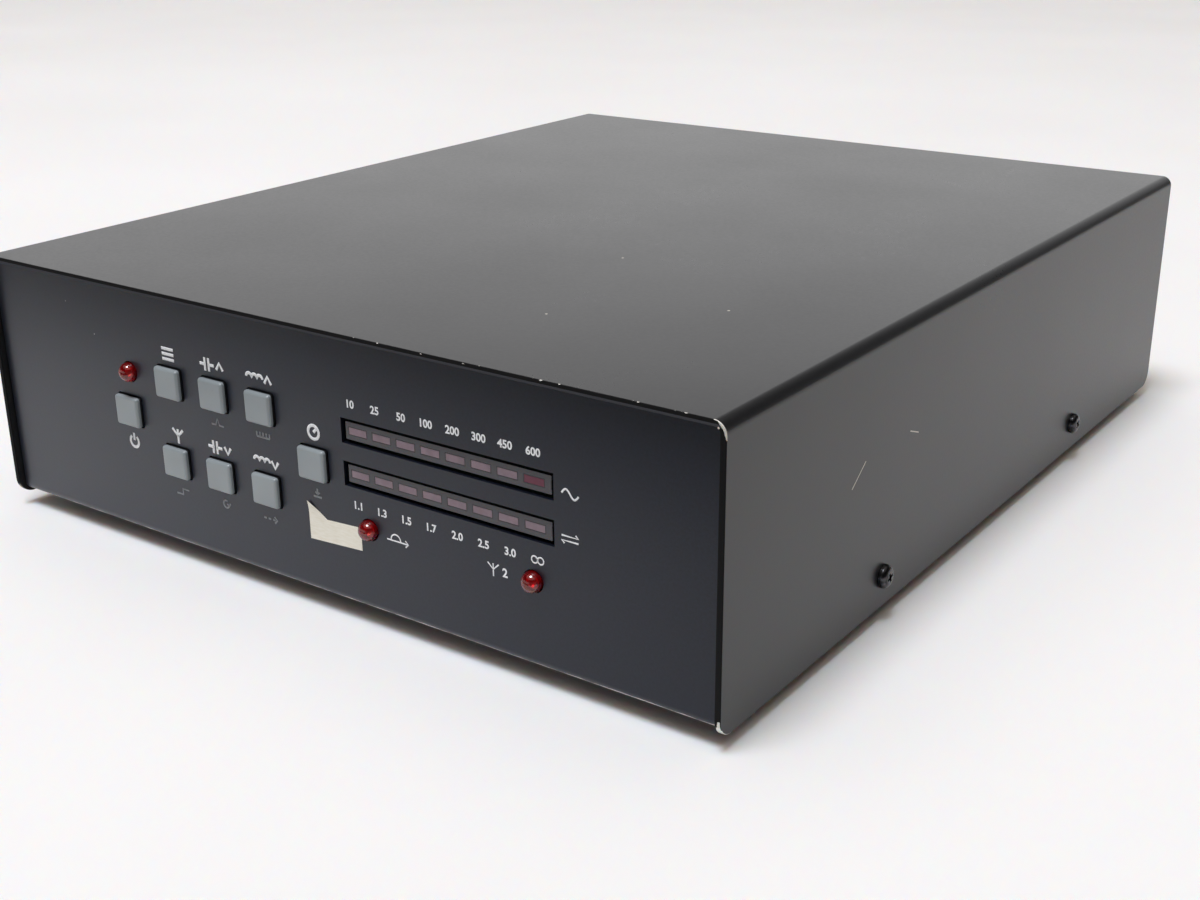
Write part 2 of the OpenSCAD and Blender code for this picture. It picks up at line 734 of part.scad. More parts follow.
// Row of segment places of one meter
module segment_row(z, gap) {
    first = slot_x + segment_shift - (segments - 1) * segment_pitch / 2;
    for (i = [0:segments - 1]) translate([first + i * segment_pitch, panel_z(z)])
        square([segment_w + 2 * gap, segment_h + 2 * gap], center = true);
}

// Meter bars that stand on the display board and reach into the slots
module meter_bars() color("#5c5b5e") for (z = meter_rows) difference() {
    slab_y(bar_y, display_y - bar_y) translate([slot_x, panel_z(z)])
        square([slot_w - 2 * bar_gap, slot_h - 2 * bar_gap], center = true);
    slab_y(bar_y - past, segment_t + past) segment_row(z, segment_gap);
}

// Light segments set in the faces of the meter bars
module meter_segments() color("#8d6d75") for (z = meter_rows)
    slab_y(bar_y, segment_t) segment_row(z, 0);

// Strip of blank paper tape stuck on the panel
module paper_tape() color("#eeeadb") slab_y(panel_y - tape_t, tape_t)
    translate([tape_x, panel_z(tape_z)]) polygon([
        [0, 0],
        [tape_l, tape_rise],
        [tape_l, tape_rise + tape_w],
        [tape_torn, tape_w + tape_rise * tape_torn / tape_l],
        [0, tape_peak]
    ]);

// Display board behind the front panel
module display_board() color("#2f5a3c") slab_y(display_y, pcb_t) difference() {
    translate([display_x0, panel_z(display_z0)])
        square([display_x1 - display_x0, display_z1 - display_z0]);
    for (p = display_studs_at) translate([p[0], panel_z(p[1])]) circle(d = panel_stud_d + 2 * shank_gap);
}

// Studs welded to the inside of the front panel
module panel_studs() color("silver") for (p = display_studs_at)
    rod_y(p[0], panel_in, panel_z(p[1]), display_gap + pcb_t + small_nut_t + nut_past, panel_stud_d);

// Spacers on the studs
module panel_spacers() color("silver") for (p = display_studs_at)
    translate([p[0], panel_in, panel_z(p[1])]) rotate([-90, 0, 0])
        ring(spacer_d, panel_stud_d + 2 * shank_gap, display_gap);

// Nuts that hold the display board on the studs
module panel_nuts() color("silver") for (p = display_studs_at)
    translate([p[0], display_back, panel_z(p[1])]) rotate([-90, 0, 0])
        hex_nut(small_nut_d, small_nut_t, panel_stud_d + 2 * shank_gap);

// Main board on its standoffs
module main_board() color("#2f5a3c") difference() {
    translate([-board_w / 2, board_y0, board_z]) cube([board_w, board_y1 - board_y0, pcb_t]);
    for (p = standoffs_at) translate([p[0], p[1], board_z - past])
        cylinder(h = pcb_t + 2 * past, d = board_screw_d + 2 * shank_gap);
}

// Standoffs riveted into the floor
module standoffs() color("#c9cacc") for (p = standoffs_at)
    translate([p[0], p[1], floor_z]) difference() {
        union() {
            cylinder(h = standoff_h, d = standoff_d, $fn = 6);
            translate([0, 0, -sheet_t]) cylinder(h = sheet_t, d = board_screw_d);
        }
        translate([0, 0, standoff_h - board_screw_l])
            cylinder(h = board_screw_l + past, d = board_screw_d + 2 * shank_gap);
    }

// Screws that hold the main board on the standoffs
module board_screws() color("silver") for (p = standoffs_at) translate([p[0], p[1], board_top])
    pan_screw(board_screw_d, board_screw_l, board_head_d, board_head_h);

// Ribbon cable from the display board down to the main board
ribbon_y = display_back + header_t;
ribbon_end_y = ribbon_y + ribbon_run;
module ribbon_cable() color("#9a9ca0") slab_x(ribbon_x - ribbon_w / 2, ribbon_w) {
    level = panel_z(ribbon_z);
    middle = [ribbon_end_y - ribbon_bend, level - ribbon_bend];
    translate([ribbon_y, level - ribbon_t / 2]) square([middle[0] - ribbon_y, ribbon_t]);
    translate([ribbon_end_y - ribbon_t / 2, board_top + header_h])
        square([ribbon_t, middle[1] - board_top - header_h]);
    intersection() {
        translate(middle) difference() {
            circle(ribbon_bend + ribbon_t / 2);
            circle(ribbon_bend - ribbon_t / 2);
        }
        translate(middle) square(2 * ribbon_bend);
    }
}

// Headers at both ends of the ribbon cable
module ribbon_headers() color("#1d1d20") {
    w = ribbon_w + 2 * header_edge;
    header = [w, header_t, header_h];
    translate([ribbon_x - w / 2, display_back, panel_z(ribbon_z) - header_h / 2]) cube(header);
    translate([ribbon_x - w / 2, max(ribbon_end_y - header_t / 2, board_y0), board_top]) cube(header);
}

// Relays in a row across the main board
module relays() color("#1a2a5c") for (i = [0:relays_n - 1])
    translate([(i - (relays_n - 1) / 2) * relay_pitch, board_y0 + relay_y, board_top])
        linear_extrude(relay_h) plate(relay_w, relay_l, part_corner_r);

// Places of the coils
coils_at = [for (i = [0:coils_n - 1]) [(i - (coils_n - 1) / 2) * coil_pitch, board_y0 + coil_y]];

// Iron powder rings of the coils
module coil_cores() color("#b9a22c") for (p = coils_at)
    translate([p[0], p[1], board_top + wire_t + wound_gap]) ring(core_d, core_bore, core_h);

// Copper windings round the rings, open where the leads come out
module coil_windings() color("#b5652a") for (p = coils_at) translate([p[0], p[1], board_top])
    rotate_extrude(angle = wound_angle) difference() {
        translate([core_bore / 2 - wire_t - wound_gap, 0])
            square([(core_d - core_bore) / 2 + 2 * (wire_t + wound_gap),
                core_h + 2 * (wire_t + wound_gap)]);
        translate([core_bore / 2 - wound_gap, wire_t])
            square([(core_d - core_bore) / 2 + 2 * wound_gap, core_h + 2 * wound_gap]);
    }

// Capacitors in a row
module capacitors() color("#a8482c") for (i = [0:capacitors_n - 1])
    translate([(i - (capacitors_n - 1) / 2) * capacitor_pitch, board_y0 + capacitor_y, board_top])
        linear_extrude(capacitor_h) plate(capacitor_w, capacitor_t, part_corner_r);

// Filter capacitors of the supply
module filter_capacitors() color("#2a2c38") for (i = [0:1])
    translate([filter_x + i * filter_pitch, board_y0 + chip_y, board_top])
        cylinder(h = filter_h, d = filter_d);

// Controller chip
module controller_chip() color("#19191b")
    translate([chip_x - chip_l / 2, board_y0 + chip_y, board_top]) linear_extrude(chip_t) difference() {
        translate([0, -chip_w / 2]) square([chip_l, chip_w]);
        circle(d = chip_notch);
    }

// Shell of a coaxial socket: flange, threaded barrel and boss, bored for its insulator
module socket(i) color("#c4c6c8") translate([sockets[i], 0, panel_z(socket_z)]) difference() {
    union() {
        slab_y(rear_y, socket_flange_t) difference() {
            plate(socket_flange, socket_flange, socket_flange_r);
            for (p = flange_holes) translate(p) circle(d = flange_screw_d + 2 * shank_gap);
        }
        rod_y(0, rear_y, 0, socket_reach, socket_d);
        rod_y(0, rear_in - socket_boss_l, 0, sheet_t + socket_boss_l, socket_boss_d);
    }
    rod_y(0, rear_y + socket_reach - cup_l, 0, cup_l + past, cup_d);
    rod_y(0, rear_y + socket_reach - cup_l - insulator_t, 0, insulator_t + past,
        insulator_d + 2 * socket_gap);
    rod_y(0, rear_in - socket_boss_l - past, 0, sheet_t + socket_boss_l + socket_reach,
        stem_d + 2 * socket_gap);
}

// White insulators of the sockets
module socket_insulators() color("#ecebe6") for (x = sockets)
    translate([x, 0, panel_z(socket_z)]) difference() {
        union() {
            rod_y(0, insulator_y - insulator_t, 0, insulator_t, insulator_d);
            rod_y(0, insulator_end, 0, insulator_y - insulator_end, stem_d);
        }
        rod_y(0, insulator_end - past, 0, insulator_y - insulator_end + 2 * past,
            contact_d + 2 * socket_gap);
    }

// Centre contacts of the sockets
module socket_contacts() color("#d9b45a") for (x = sockets)
    translate([x, 0, panel_z(socket_z)]) difference() {
        union() {
            rod_y(0, insulator_end, 0, insulator_y - insulator_end, contact_d);
            rod_y(0, insulator_end - solder_l, 0, solder_l, solder_d);
        }
        rod_y(0, insulator_y - contact_l, 0, contact_l + past, contact_bore);
    }

// Screws through the flanges of the sockets
module socket_screws() color("silver") for (x = sockets, p = flange_holes)
    translate([x + p[0], rear_y + socket_flange_t, panel_z(socket_z) + p[1]])
        rotate([-90, 0, 0]) rotate(flange_screw_turn) pan_screw(flange_screw_d,
            socket_flange_t + sheet_t + small_nut_t + nut_past, flange_head_d, flange_head_h);

// Nuts on the screws, inside the rear panel
module socket_nuts() color("silver") for (x = sockets, p = flange_holes)
    translate([x + p[0], rear_in, panel_z(socket_z) + p[1]]) rotate([90, 0, 0])
        hex_nut(small_nut_d, small_nut_t, flange_screw_d + 2 * shank_gap);

// Leads from the contacts down to the main board
module socket_leads() color("#2b2b2e") for (x = sockets) translate([x, 0, panel_z(socket_z)]) {
    rod_y(0, lead_y - lead_run, 0, lead_run, lead_d);
    translate([0, lead_y - lead_run, -lead_bend]) rotate([90, 0, -90])
        rotate_extrude(angle = 90) translate([lead_bend, 0]) circle(d = lead_d);
    translate([0, lead_land_y, board_top - panel_z(socket_z)])
        cylinder(h = panel_z(socket_z) - lead_bend - board_top, d = lead_d);
}

// Ring that senses the power, round the lead of the radio socket
module sensing_ring() color("#3c3d40") translate([sockets[0], lead_land_y, board_top])
    ring(sense_d, sense_bore, sense_h);

// Ground stud with its head inside the rear panel
module ground_stud() color("silver") translate([stud_x, 0, panel_z(ground_z)]) {
    rod_y(0, rear_in, 0, sheet_t + stud_reach - stud_free, stud_d);
    rod_y(0, rear_y + stud_reach - stud_free, 0, stud_free, stud_tip_d);
    translate([0, rear_in - stud_nut_t, 0]) rotate([-90, 0, 0])
        cylinder(h = stud_nut_t, d = stud_nut_d, $fn = 6);
}

// Nut that clamps the stud to the panel
module ground_nut() color("silver") translate([stud_x, rear_y, panel_z(ground_z)])
    rotate([-90, 0, 0]) hex_nut(stud_nut_d, stud_nut_t, stud_d + 2 * shank_gap);

// Washer under the wing nut
module ground_washer() color("silver") translate([stud_x, rear_y + stud_nut_t, panel_z(ground_z)])
    rotate([-90, 0, 0]) ring(washer_d, stud_d + 2 * shank_gap, washer_t);

// Wing nut that turns on the stud
module wing_nut() color("#c9b27a") translate([stud_x, rear_y + stud_nut_t + washer_t, panel_z(ground_z)])
    rotate([-90, 0, 0]) rotate(wing_turn) difference() {
        union() {
            cylinder(h = hub_h, d1 = hub_d, d2 = hub_top_d);
            for (a = [0, 180]) rotate(a) rotate([90, 0, 0]) translate([0, 0, -wing_t / 2])
                linear_extrude(wing_t) wing();
        }
        translate([0, 0, -past]) cylinder(h = hub_h + wing_rise + wing_tip_r, d = stud_d + 2 * run_gap);
    }

// Side view of one wing, from the hub out to its round tip
module wing() {
    tip = [wing_span / 2 - wing_tip_r, wing_rise];
    inner = stud_d / 2 + run_gap;
    edge = wing_tip_r * [cos(wing_lean), -sin(wing_lean)];
    translate(tip) circle(wing_tip_r);
    polygon([[inner, wing_root], tip + edge, tip - edge, [inner, hub_h - wing_root]]);
}

// Signal jacks on the main board, with their noses through the rear panel
jack_y = rear_in - board_rear_gap;
module signal_jacks() color("#1b1b1d") for (x = signal_jacks_x)
    translate([x, 0, signal_jack_z]) difference() {
        union() {
            translate([-jack_w / 2, jack_y - jack_l, -jack_h / 2]) cube([jack_w, jack_l, jack_h]);
            rod_y(0, jack_y, 0, rear_y + jack_reach - jack_y, jack_d);
        }
        rod_y(0, rear_y + jack_reach - jack_bore_l, 0, jack_bore_l + past, jack_bore);
    }

// Ring nuts on the noses
module jack_nuts() color("silver") for (x = signal_jacks_x) translate([x, rear_y, signal_jack_z])
    rotate([-90, 0, 0]) ring(jack_nut_d, jack_d + 2 * shank_gap, jack_nut_t);

// Power jack on the main board
power_mouth = rear_y + power_jack_reach;
module power_jack() color("#1b1b1d") translate([power_x, 0, power_jack_z]) difference() {
    union() {
        translate([-jack_w / 2, jack_y - jack_l, -power_jack_h / 2]) cube([jack_w, jack_l, power_jack_h]);
        rod_y(0, jack_y, 0, power_mouth - jack_y, power_jack_d);
    }
    rod_y(0, power_mouth - power_bore_l, 0, power_bore_l + past, power_bore);
    rod_y(0, power_mouth - power_bore_l - power_pin_root, 0, power_pin_root + past,
        power_root_d + 2 * socket_gap);
}

// Centre pin of the power jack
module power_jack_pin() color("silver") translate([power_x, 0, power_jack_z]) {
    rod_y(0, power_mouth - power_bore_l, 0, power_bore_l - power_pin_set, power_pin_d);
    rod_y(0, power_mouth - power_bore_l - power_pin_root, 0, power_pin_root, power_root_d);
}

chassis();
cover();
cover_screws();
clinch_nuts();
feet();
button(0);  // button_power
button(1);  // button_function
button(2);  // button_c_up
button(3);  // button_l_up
button(4);  // button_antenna
button(5);  // button_c_down
button(6);  // button_l_down
button(7);  // button_tune
plunger(0);  // plunger_power
plunger(1);  // plunger_function
plunger(2);  // plunger_c_up
plunger(3);  // plunger_l_up
plunger(4);  // plunger_antenna
plunger(5);  // plunger_c_down
plunger(6);  // plunger_l_down
plunger(7);  // plunger_tune
switches();
lamps();
meter_bars();
meter_segments();
paper_tape();
display_board();
panel_studs();
panel_spacers();
panel_nuts();
main_board();
standoffs();
board_screws();
ribbon_cable();
ribbon_headers();
relays();
coil_cores();
coil_windings();
capacitors();
filter_capacitors();
controller_chip();
sensing_ring();
socket(0);  // radio_socket
socket(1);  // antenna_socket_1
socket(2);  // antenna_socket_2
socket_insulators();
socket_contacts();
socket_screws();
socket_nuts();
socket_leads();
ground_stud();
ground_nut();
ground_washer();
wing_nut();
signal_jacks();
jack_nuts();
power_jack();
power_jack_pin();
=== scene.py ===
"""Looks of the automatic antenna tuner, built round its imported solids."""
import math

import bmesh
import bpy
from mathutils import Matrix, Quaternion, Vector


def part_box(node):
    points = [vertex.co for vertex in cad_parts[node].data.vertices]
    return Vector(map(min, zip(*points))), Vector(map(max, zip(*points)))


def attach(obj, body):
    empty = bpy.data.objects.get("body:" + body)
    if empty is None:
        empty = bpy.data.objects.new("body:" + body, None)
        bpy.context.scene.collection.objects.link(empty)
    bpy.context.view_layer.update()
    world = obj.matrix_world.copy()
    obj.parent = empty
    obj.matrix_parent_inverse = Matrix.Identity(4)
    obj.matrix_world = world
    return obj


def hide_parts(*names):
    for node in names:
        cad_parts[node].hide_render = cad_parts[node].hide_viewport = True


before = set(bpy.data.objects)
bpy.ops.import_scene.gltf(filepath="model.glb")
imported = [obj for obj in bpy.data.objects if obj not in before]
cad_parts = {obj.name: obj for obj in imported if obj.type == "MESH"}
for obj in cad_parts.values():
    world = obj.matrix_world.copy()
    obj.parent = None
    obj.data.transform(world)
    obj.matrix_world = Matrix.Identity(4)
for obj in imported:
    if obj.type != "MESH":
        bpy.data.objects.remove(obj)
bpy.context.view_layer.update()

# Cover
# Top and two sides of the case, folded from one sheet of steel and slipped over the chassis. It is
# sprayed with black satin powder coat, rubbed to bare metal at the right corner of its front rim.
MM = 0.001
SHEET = 1.6 * MM
BEND = 3.2 * MM
CORNER = 5 * MM


def start(name):
    """The primitive that was just added becomes a named piece, in edit mode."""
    bpy.ops.object.transform_apply(location=True, rotation=True, scale=True)
    piece = bpy.context.object
    piece.name = name
    piece.data.name = name
    bpy.ops.object.mode_set(mode="EDIT")
    return piece


def block(name, middle, size):
    """A block of a size about a middle point, as a named piece in edit mode."""
    bpy.ops.object.select_all(action="DESELECT")
    bpy.ops.mesh.primitive_cube_add(size=1, location=middle, scale=size)
    return start(name)


def pick(kind, test):
    """Selects the faces, edges or verts of the edited piece that pass a test."""
    mesh = bmesh.from_edit_mesh(bpy.context.object.data)
    bpy.ops.mesh.select_mode(type={"faces": "FACE", "edges": "EDGE", "verts": "VERT"}[kind])
    bpy.ops.mesh.select_all(action="DESELECT")
    for part in getattr(mesh, kind):
        part.select_set(test(part))
    bmesh.update_edit_mesh(bpy.context.object.data)


def modify(piece, kind, **settings):
    """Adds a modifier with these settings to a piece and applies it."""
    added = piece.modifiers.new(kind, kind)
    for name, value in settings.items():
        setattr(added, name, value)
    bpy.context.view_layer.objects.active = piece
    bpy.ops.object.modifier_apply(modifier=added.name)


def only(piece):
    """Selects one piece alone and makes it the active one."""
    bpy.ops.object.select_all(action="DESELECT")
    piece.select_set(True)
    bpy.context.view_layer.objects.active = piece


def round_edges(piece, width, angle):
    """Small rounding on a finished piece's sharp edges, with its flat faces kept flat in the shading."""
    bpy.ops.object.mode_set(mode="OBJECT")
    only(piece)
    modify(piece, "BEVEL", width=width, segments=3, limit_method="ANGLE", angle_limit=math.radians(angle))
    bpy.ops.object.shade_smooth()
    modify(piece, "WEIGHTED_NORMAL", keep_sharp=True, weight=100)


low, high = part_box("cover")
cover = block("case_cover", (low + high) / 2, high - low)
pick("faces", lambda f: f.normal.z < -0.5 or abs(f.normal.y) > 0.5)
bpy.ops.mesh.delete(type="FACE")
pick("edges", lambda e: min(v.co.z for v in e.verts) > high.z - SHEET
     and abs(e.verts[0].co.y - e.verts[1].co.y) > SHEET)
bpy.ops.mesh.bevel(offset=BEND, segments=10, affect="EDGES")
pick("verts", lambda v: v.co.z < low.z + SHEET)
bpy.ops.mesh.bevel(offset=CORNER, segments=10, affect="VERTICES")
bpy.ops.object.mode_set(mode="OBJECT")
modify(cover, "SOLIDIFY", thickness=SHEET, offset=-1, use_even_offset=True)
round_edges(cover, 0.25 * MM, 50)
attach(cover, "case")
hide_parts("cover")


def tint(code):
    """Linear colour of an sRGB hex value."""
    parts = [int(code[i:i + 2], 16) / 255 for i in (1, 3, 5)]
    return [p / 12.92 if p <= 0.04045 else ((p + 0.055) / 1.055) ** 2.4 for p in parts] + [1.0]


def add(tree, kind, inputs, **settings):
    """A shader node with its settings; each input is a plain value or another node's socket."""
    made = tree.nodes.new("ShaderNode" + kind)
    for name, value in settings.items():
        setattr(made, name, value)
    for socket, value in inputs.items():
        if isinstance(value, bpy.types.NodeSocket):
            tree.links.new(value, made.inputs[socket])
        else:
            made.inputs[socket].default_value = value
    return made


def material(name, roughness, metallic=0.0):
    """A new material with its node tree, its shader and the Object coordinates of the piece."""
    made = bpy.data.materials.new(name)
    made.use_nodes = True
    tree = made.node_tree
    shader = tree.nodes["Principled BSDF"]
    shader.inputs["Roughness"].default_value = roughness
    shader.inputs["Metallic"].default_value = metallic
    place = add(tree, "TexCoord", {}).outputs["Object"]
    return made, tree, shader, place


def mottle(tree, shader, place, size, detail, dark, pale, begin=0.0, end=1.0):
    """Colours a material in two tones by soft blotches of a size; returns the pattern and the colour."""
    blotch = add(tree, "TexNoise", {"Vector": place, "Scale": 1 / size, "Detail": detail}).outputs["Fac"]
    tones = add(tree, "ValToRGB", {"Fac": blotch})
    for stop, position, code in zip(tones.color_ramp.elements, (begin, end), (dark, pale)):
        stop.position = position
        stop.color = tint(code)
    tree.links.new(tones.outputs["Color"], shader.inputs["Base Color"])
    return blotch, tones.outputs["Color"]


def dress(piece, finish):
    """A piece or CAD node wears one material all over."""
    piece.data.materials.clear()
    piece.data.materials.append(finish)


# Black satin powder coat: cured powder leaves a fine even grain of about half a millimetre that
# breaks up reflections, drawn at nearly a millimetre so that it shows, with a slow change in sheen.
coat, tree, shader, place = material("black_satin_powder_coat", 0.3)
grain, paint = mottle(tree, shader, place, 0.9 * MM, 3.0, "#121213", "#1a1a1c", 0.3, 0.75)
cloud = add(tree, "TexNoise", {"Vector": place, "Scale": 1 / (55 * MM), "Detail": 2.0}).outputs["Fac"]
sheen = add(tree, "MapRange", {"Value": cloud, "From Min": 0.3, "From Max": 0.7, "To Min": -0.01,
                               "To Max": 0.01}).outputs[0]
sheen = add(tree, "Math", {0: sheen, 1: add(tree, "MapRange", {
    "Value": grain, "From Min": 0.3, "From Max": 0.7, "To Min": 0.28, "To Max": 0.32}).outputs[0]},
            operation="ADD").outputs[0]
# Worn places have ragged edges: first the outer lip of the front rim, round the right bend.
ragged = add(tree, "TexNoise", {"Vector": place, "Scale": 1 / (1.1 * MM), "Detail": 2.0}).outputs["Fac"]
rag = add(tree, "MapRange", {"Value": ragged, "From Min": 0.25, "From Max": 0.75, "To Min": -0.5 * MM,
                             "To Max": 0.5 * MM}).outputs[0]
along = add(tree, "SeparateXYZ", {"Vector": place})
side_x, rim_y, up_z = along.outputs["X"], along.outputs["Y"], along.outputs["Z"]
past = add(tree, "VectorMath", {0: place, 1: (high.x - BEND, 0, high.z - BEND)}, operation="SUBTRACT")
past = add(tree, "VectorMath", {0: past.outputs[0]}, operation="MAXIMUM").outputs[0]
past = add(tree, "VectorMath", {0: past, 1: (1, 0, 1)}, operation="MULTIPLY").outputs[0]
reach = add(tree, "VectorMath", {0: past}, operation="LENGTH").outputs["Value"]
front = add(tree, "Math", {0: rim_y, 1: low.y + 0.3 * MM}, operation="LESS_THAN").outputs[0]
corner = add(tree, "VectorMath", {0: place, 1: (high.x - 0.4 * MM, low.y, high.z - 1.5 * MM)},
             operation="DISTANCE").outputs["Value"]
edge = add(tree, "MapRange", {"Value": corner, "From Min": 0.8 * MM, "From Max": 2.9 * MM,
                              "To Min": BEND - 0.55 * MM, "To Max": BEND}).outputs[0]
edge = add(tree, "Math", {0: rag, 1: 0.3, 2: edge}, operation="MULTIPLY_ADD").outputs[0]
lip = add(tree, "Math", {0: reach, 1: edge}, operation="GREATER_THAN").outputs[0]
near = add(tree, "Math", {0: corner, 1: 3.2 * MM}, operation="LESS_THAN").outputs[0]
# The cut edge of the sheet is rougher and less glossy. Its colour there is darkened as painted shade, and a
# thin pale band across the lower half of the top sheet's edge is a painted highlight.
sheen = add(tree, "Mix", {0: front, 2: sheen, 3: 0.75}).outputs[0]
gloss = add(tree, "Mix", {0: front, 2: 0.5, 3: 0.2}).outputs[0]
tree.links.new(gloss, shader.inputs["Specular IOR Level"])
painted_rim_highlight = add(tree, "Math", {0: up_z, 1: high.z - 1.25 * MM, 2: 0.35 * MM}, operation="COMPARE").outputs[0]
painted_rim_highlight = add(tree, "Math", {0: painted_rim_highlight, 1: front}, operation="MULTIPLY").outputs[0]
worn = lip
for mask in (front, near):
    worn = add(tree, "Math", {0: worn, 1: mask}, operation="MULTIPLY").outputs[0]
inside = add(tree, "Math", {0: side_x, 1: high.x - 0.12 * MM}, operation="LESS_THAN").outputs[0]
# A bare spot on the rim, just inside the corner.
spot = (high.x - 1.9 * MM, low.y, low.z + 74.3 * MM)
away = add(tree, "VectorMath", {0: place, 1: spot}, operation="DISTANCE").outputs["Value"]
away = add(tree, "Math", {0: rag, 1: 0.4, 2: away}, operation="MULTIPLY_ADD").outputs[0]
bare = add(tree, "Math", {0: away, 1: 0.3 * MM}, operation="LESS_THAN").outputs[0]
worn = add(tree, "Math", {0: worn, 1: bare}, operation="MAXIMUM").outputs[0]
# The lower right corner of the rim: a bare wedge that widens downward, and its outer edge.
past = add(tree, "VectorMath", {0: (0, low.y + CORNER, low.z + CORNER), 1: place}, operation="SUBTRACT")
past = add(tree, "VectorMath", {0: past.outputs[0]}, operation="MAXIMUM").outputs[0]
past = add(tree, "VectorMath", {0: past, 1: (0, 1, 1)}, operation="MULTIPLY").outputs[0]
turn = add(tree, "VectorMath", {0: past}, operation="LENGTH").outputs["Value"]
past = add(tree, "SeparateXYZ", {"Vector": past})
in_y, in_z = past.outputs["Y"], past.outputs["Z"]
outer = add(tree, "Math", {0: turn, 1: CORNER - 0.22 * MM}, operation="GREATER_THAN").outputs[0]
wedge = add(tree, "MapRange", {"Value": in_z, "From Min": -0.2 * MM, "From Max": 3.6 * MM,
                               "To Min": high.x - 0.6 * MM, "To Max": high.x - 1.5 * MM}).outputs[0]
wedge = add(tree, "Math", {0: rag, 1: 0.4, 2: wedge}, operation="MULTIPLY_ADD").outputs[0]
wedge = add(tree, "Math", {0: side_x, 1: wedge}, operation="GREATER_THAN").outputs[0]
low_side = add(tree, "Math", {0: in_z, 1: 2.4 * MM}, operation="GREATER_THAN").outputs[0]
low_side = add(tree, "Math", {0: low_side, 1: inside}, operation="MAXIMUM").outputs[0]
ahead = add(tree, "Math", {0: in_y, 1: 0.01 * MM}, operation="GREATER_THAN").outputs[0]
below = add(tree, "Math", {0: in_z, 1: 0.01 * MM}, operation="GREATER_THAN").outputs[0]
for mask in (outer, low_side, ahead, below):
    wedge = add(tree, "Math", {0: wedge, 1: mask}, operation="MULTIPLY").outputs[0]
worn = add(tree, "Math", {0: worn, 1: wedge}, operation="MAXIMUM").outputs[0]
# Small chips in a row along the right half of the front rim.
chips = add(tree, "TexNoise", {"Vector": place, "Scale": 1 / (1.6 * MM), "Detail": 1.0}).outputs["Fac"]
chips = add(tree, "Math", {0: chips, 1: 0.69}, operation="GREATER_THAN").outputs[0]
ridge = add(tree, "Math", {0: up_z, 1: high.z - 0.3 * MM}, operation="GREATER_THAN").outputs[0]
right = add(tree, "Math", {0: side_x, 1: 20 * MM}, operation="GREATER_THAN").outputs[0]
for mask in (ridge, front, right):
    chips = add(tree, "Math", {0: chips, 1: mask}, operation="MULTIPLY").outputs[0]
worn = add(tree, "Math", {0: worn, 1: chips}, operation="MAXIMUM").outputs[0]
# Two hairline scratches on the right side, each from one point to another behind the front rim.
faint = 0.0
outer = add(tree, "Math", {0: side_x, 1: high.x - 0.05 * MM}, operation="GREATER_THAN").outputs[0]
for y0, z0, y1, z1 in ((59.9, 40.3, 66.8, 45.5), (92.0, 45.6, 97.2, 43.7)):
    begin = Vector((high.x, low.y + y0 * MM, low.z + z0 * MM))
    run = Vector((0, (y1 - y0) * MM, (z1 - z0) * MM))
    across = Vector((0, -run.z, run.y)).normalized()
    offset = add(tree, "VectorMath", {0: place, 1: begin}, operation="SUBTRACT").outputs[0]
    beside = add(tree, "VectorMath", {0: offset, 1: across}, operation="DOT_PRODUCT").outputs["Value"]
    beside = add(tree, "Math", {0: beside, 1: 0.0, 2: 0.15 * MM}, operation="COMPARE").outputs[0]
    ahead = add(tree, "VectorMath", {0: offset, 1: run}, operation="DOT_PRODUCT").outputs["Value"]
    middle = run.length_squared / 2
    ahead = add(tree, "Math", {0: ahead, 1: middle, 2: middle}, operation="COMPARE").outputs[0]
    for mask in (ahead, outer):
        beside = add(tree, "Math", {0: beside, 1: mask}, operation="MULTIPLY").outputs[0]
    faint = add(tree, "Math", {0: faint, 1: beside}, operation="MAXIMUM").outputs[0]
# Dust: a few pale specks under a millimetre across that lie on the top.
dust = add(tree, "TexVoronoi", {"Vector": place, "Scale": 1 / (17 * MM)})
speck = add(tree, "Math", {0: dust.outputs["Distance"], 1: 0.022}, operation="LESS_THAN").outputs[0]
chosen = add(tree, "SeparateColor", {"Color": dust.outputs["Color"]}).outputs["Red"]
chosen = add(tree, "Math", {0: chosen, 1: 0.8}, operation="GREATER_THAN").outputs[0]
speck = add(tree, "Math", {0: speck, 1: chosen}, operation="MULTIPLY").outputs[0]
faint = add(tree, "Math", {0: faint, 1: speck}, operation="MAXIMUM").outputs[0]
# Painted shade darkens the cut edge of the rim, and a painted highlight lies along the lower half of its top
# sheet's edge.
cut = add(tree, "Mix", {0: front, 6: paint, 7: tint("#070708")}, data_type="RGBA")
cut = add(tree, "Mix", {0: painted_rim_highlight, 6: cut.outputs[2], 7: tint("#404146")}, data_type="RGBA")
marked = add(tree, "Mix", {0: faint, 6: cut.outputs[2], 7: tint("#c9c2b4")}, data_type="RGBA")
shown = add(tree, "Mix", {0: worn, 6: marked.outputs[2], 7: tint("#e4e2dc")}, data_type="RGBA")
tree.links.new(shown.outputs[2], shader.inputs["Base Color"])
tree.links.new(worn, shader.inputs["Metallic"])
tree.links.new(sheen, shader.inputs["Roughness"])
bump = add(tree, "Bump", {"Height": grain, "Strength": 0.22, "Distance": 0.03 * MM})
tree.links.new(bump.outputs[0], shader.inputs["Normal"])
dress(cover, coat)

# Chassis
# Front panel, floor and rear panel folded from one steel sheet, with low flanges at the sides. Its
# front is sprayed with a smoother black enamel than the cover, so that print holds on it.
panel, tree, shader, place = material("black_satin_enamel", 0.34)
grain, paint = mottle(tree, shader, place, 0.8 * MM, 3.0, "#0b0e17", "#141926", 0.3, 0.75)
cloud = add(tree, "TexNoise", {"Vector": place, "Scale": 1 / (40 * MM), "Detail": 2.0}).outputs["Fac"]
sheen = add(tree, "MapRange", {"Value": cloud, "From Min": 0.3, "From Max": 0.7, "To Min": 0.34,
                               "To Max": 0.36}).outputs[0]
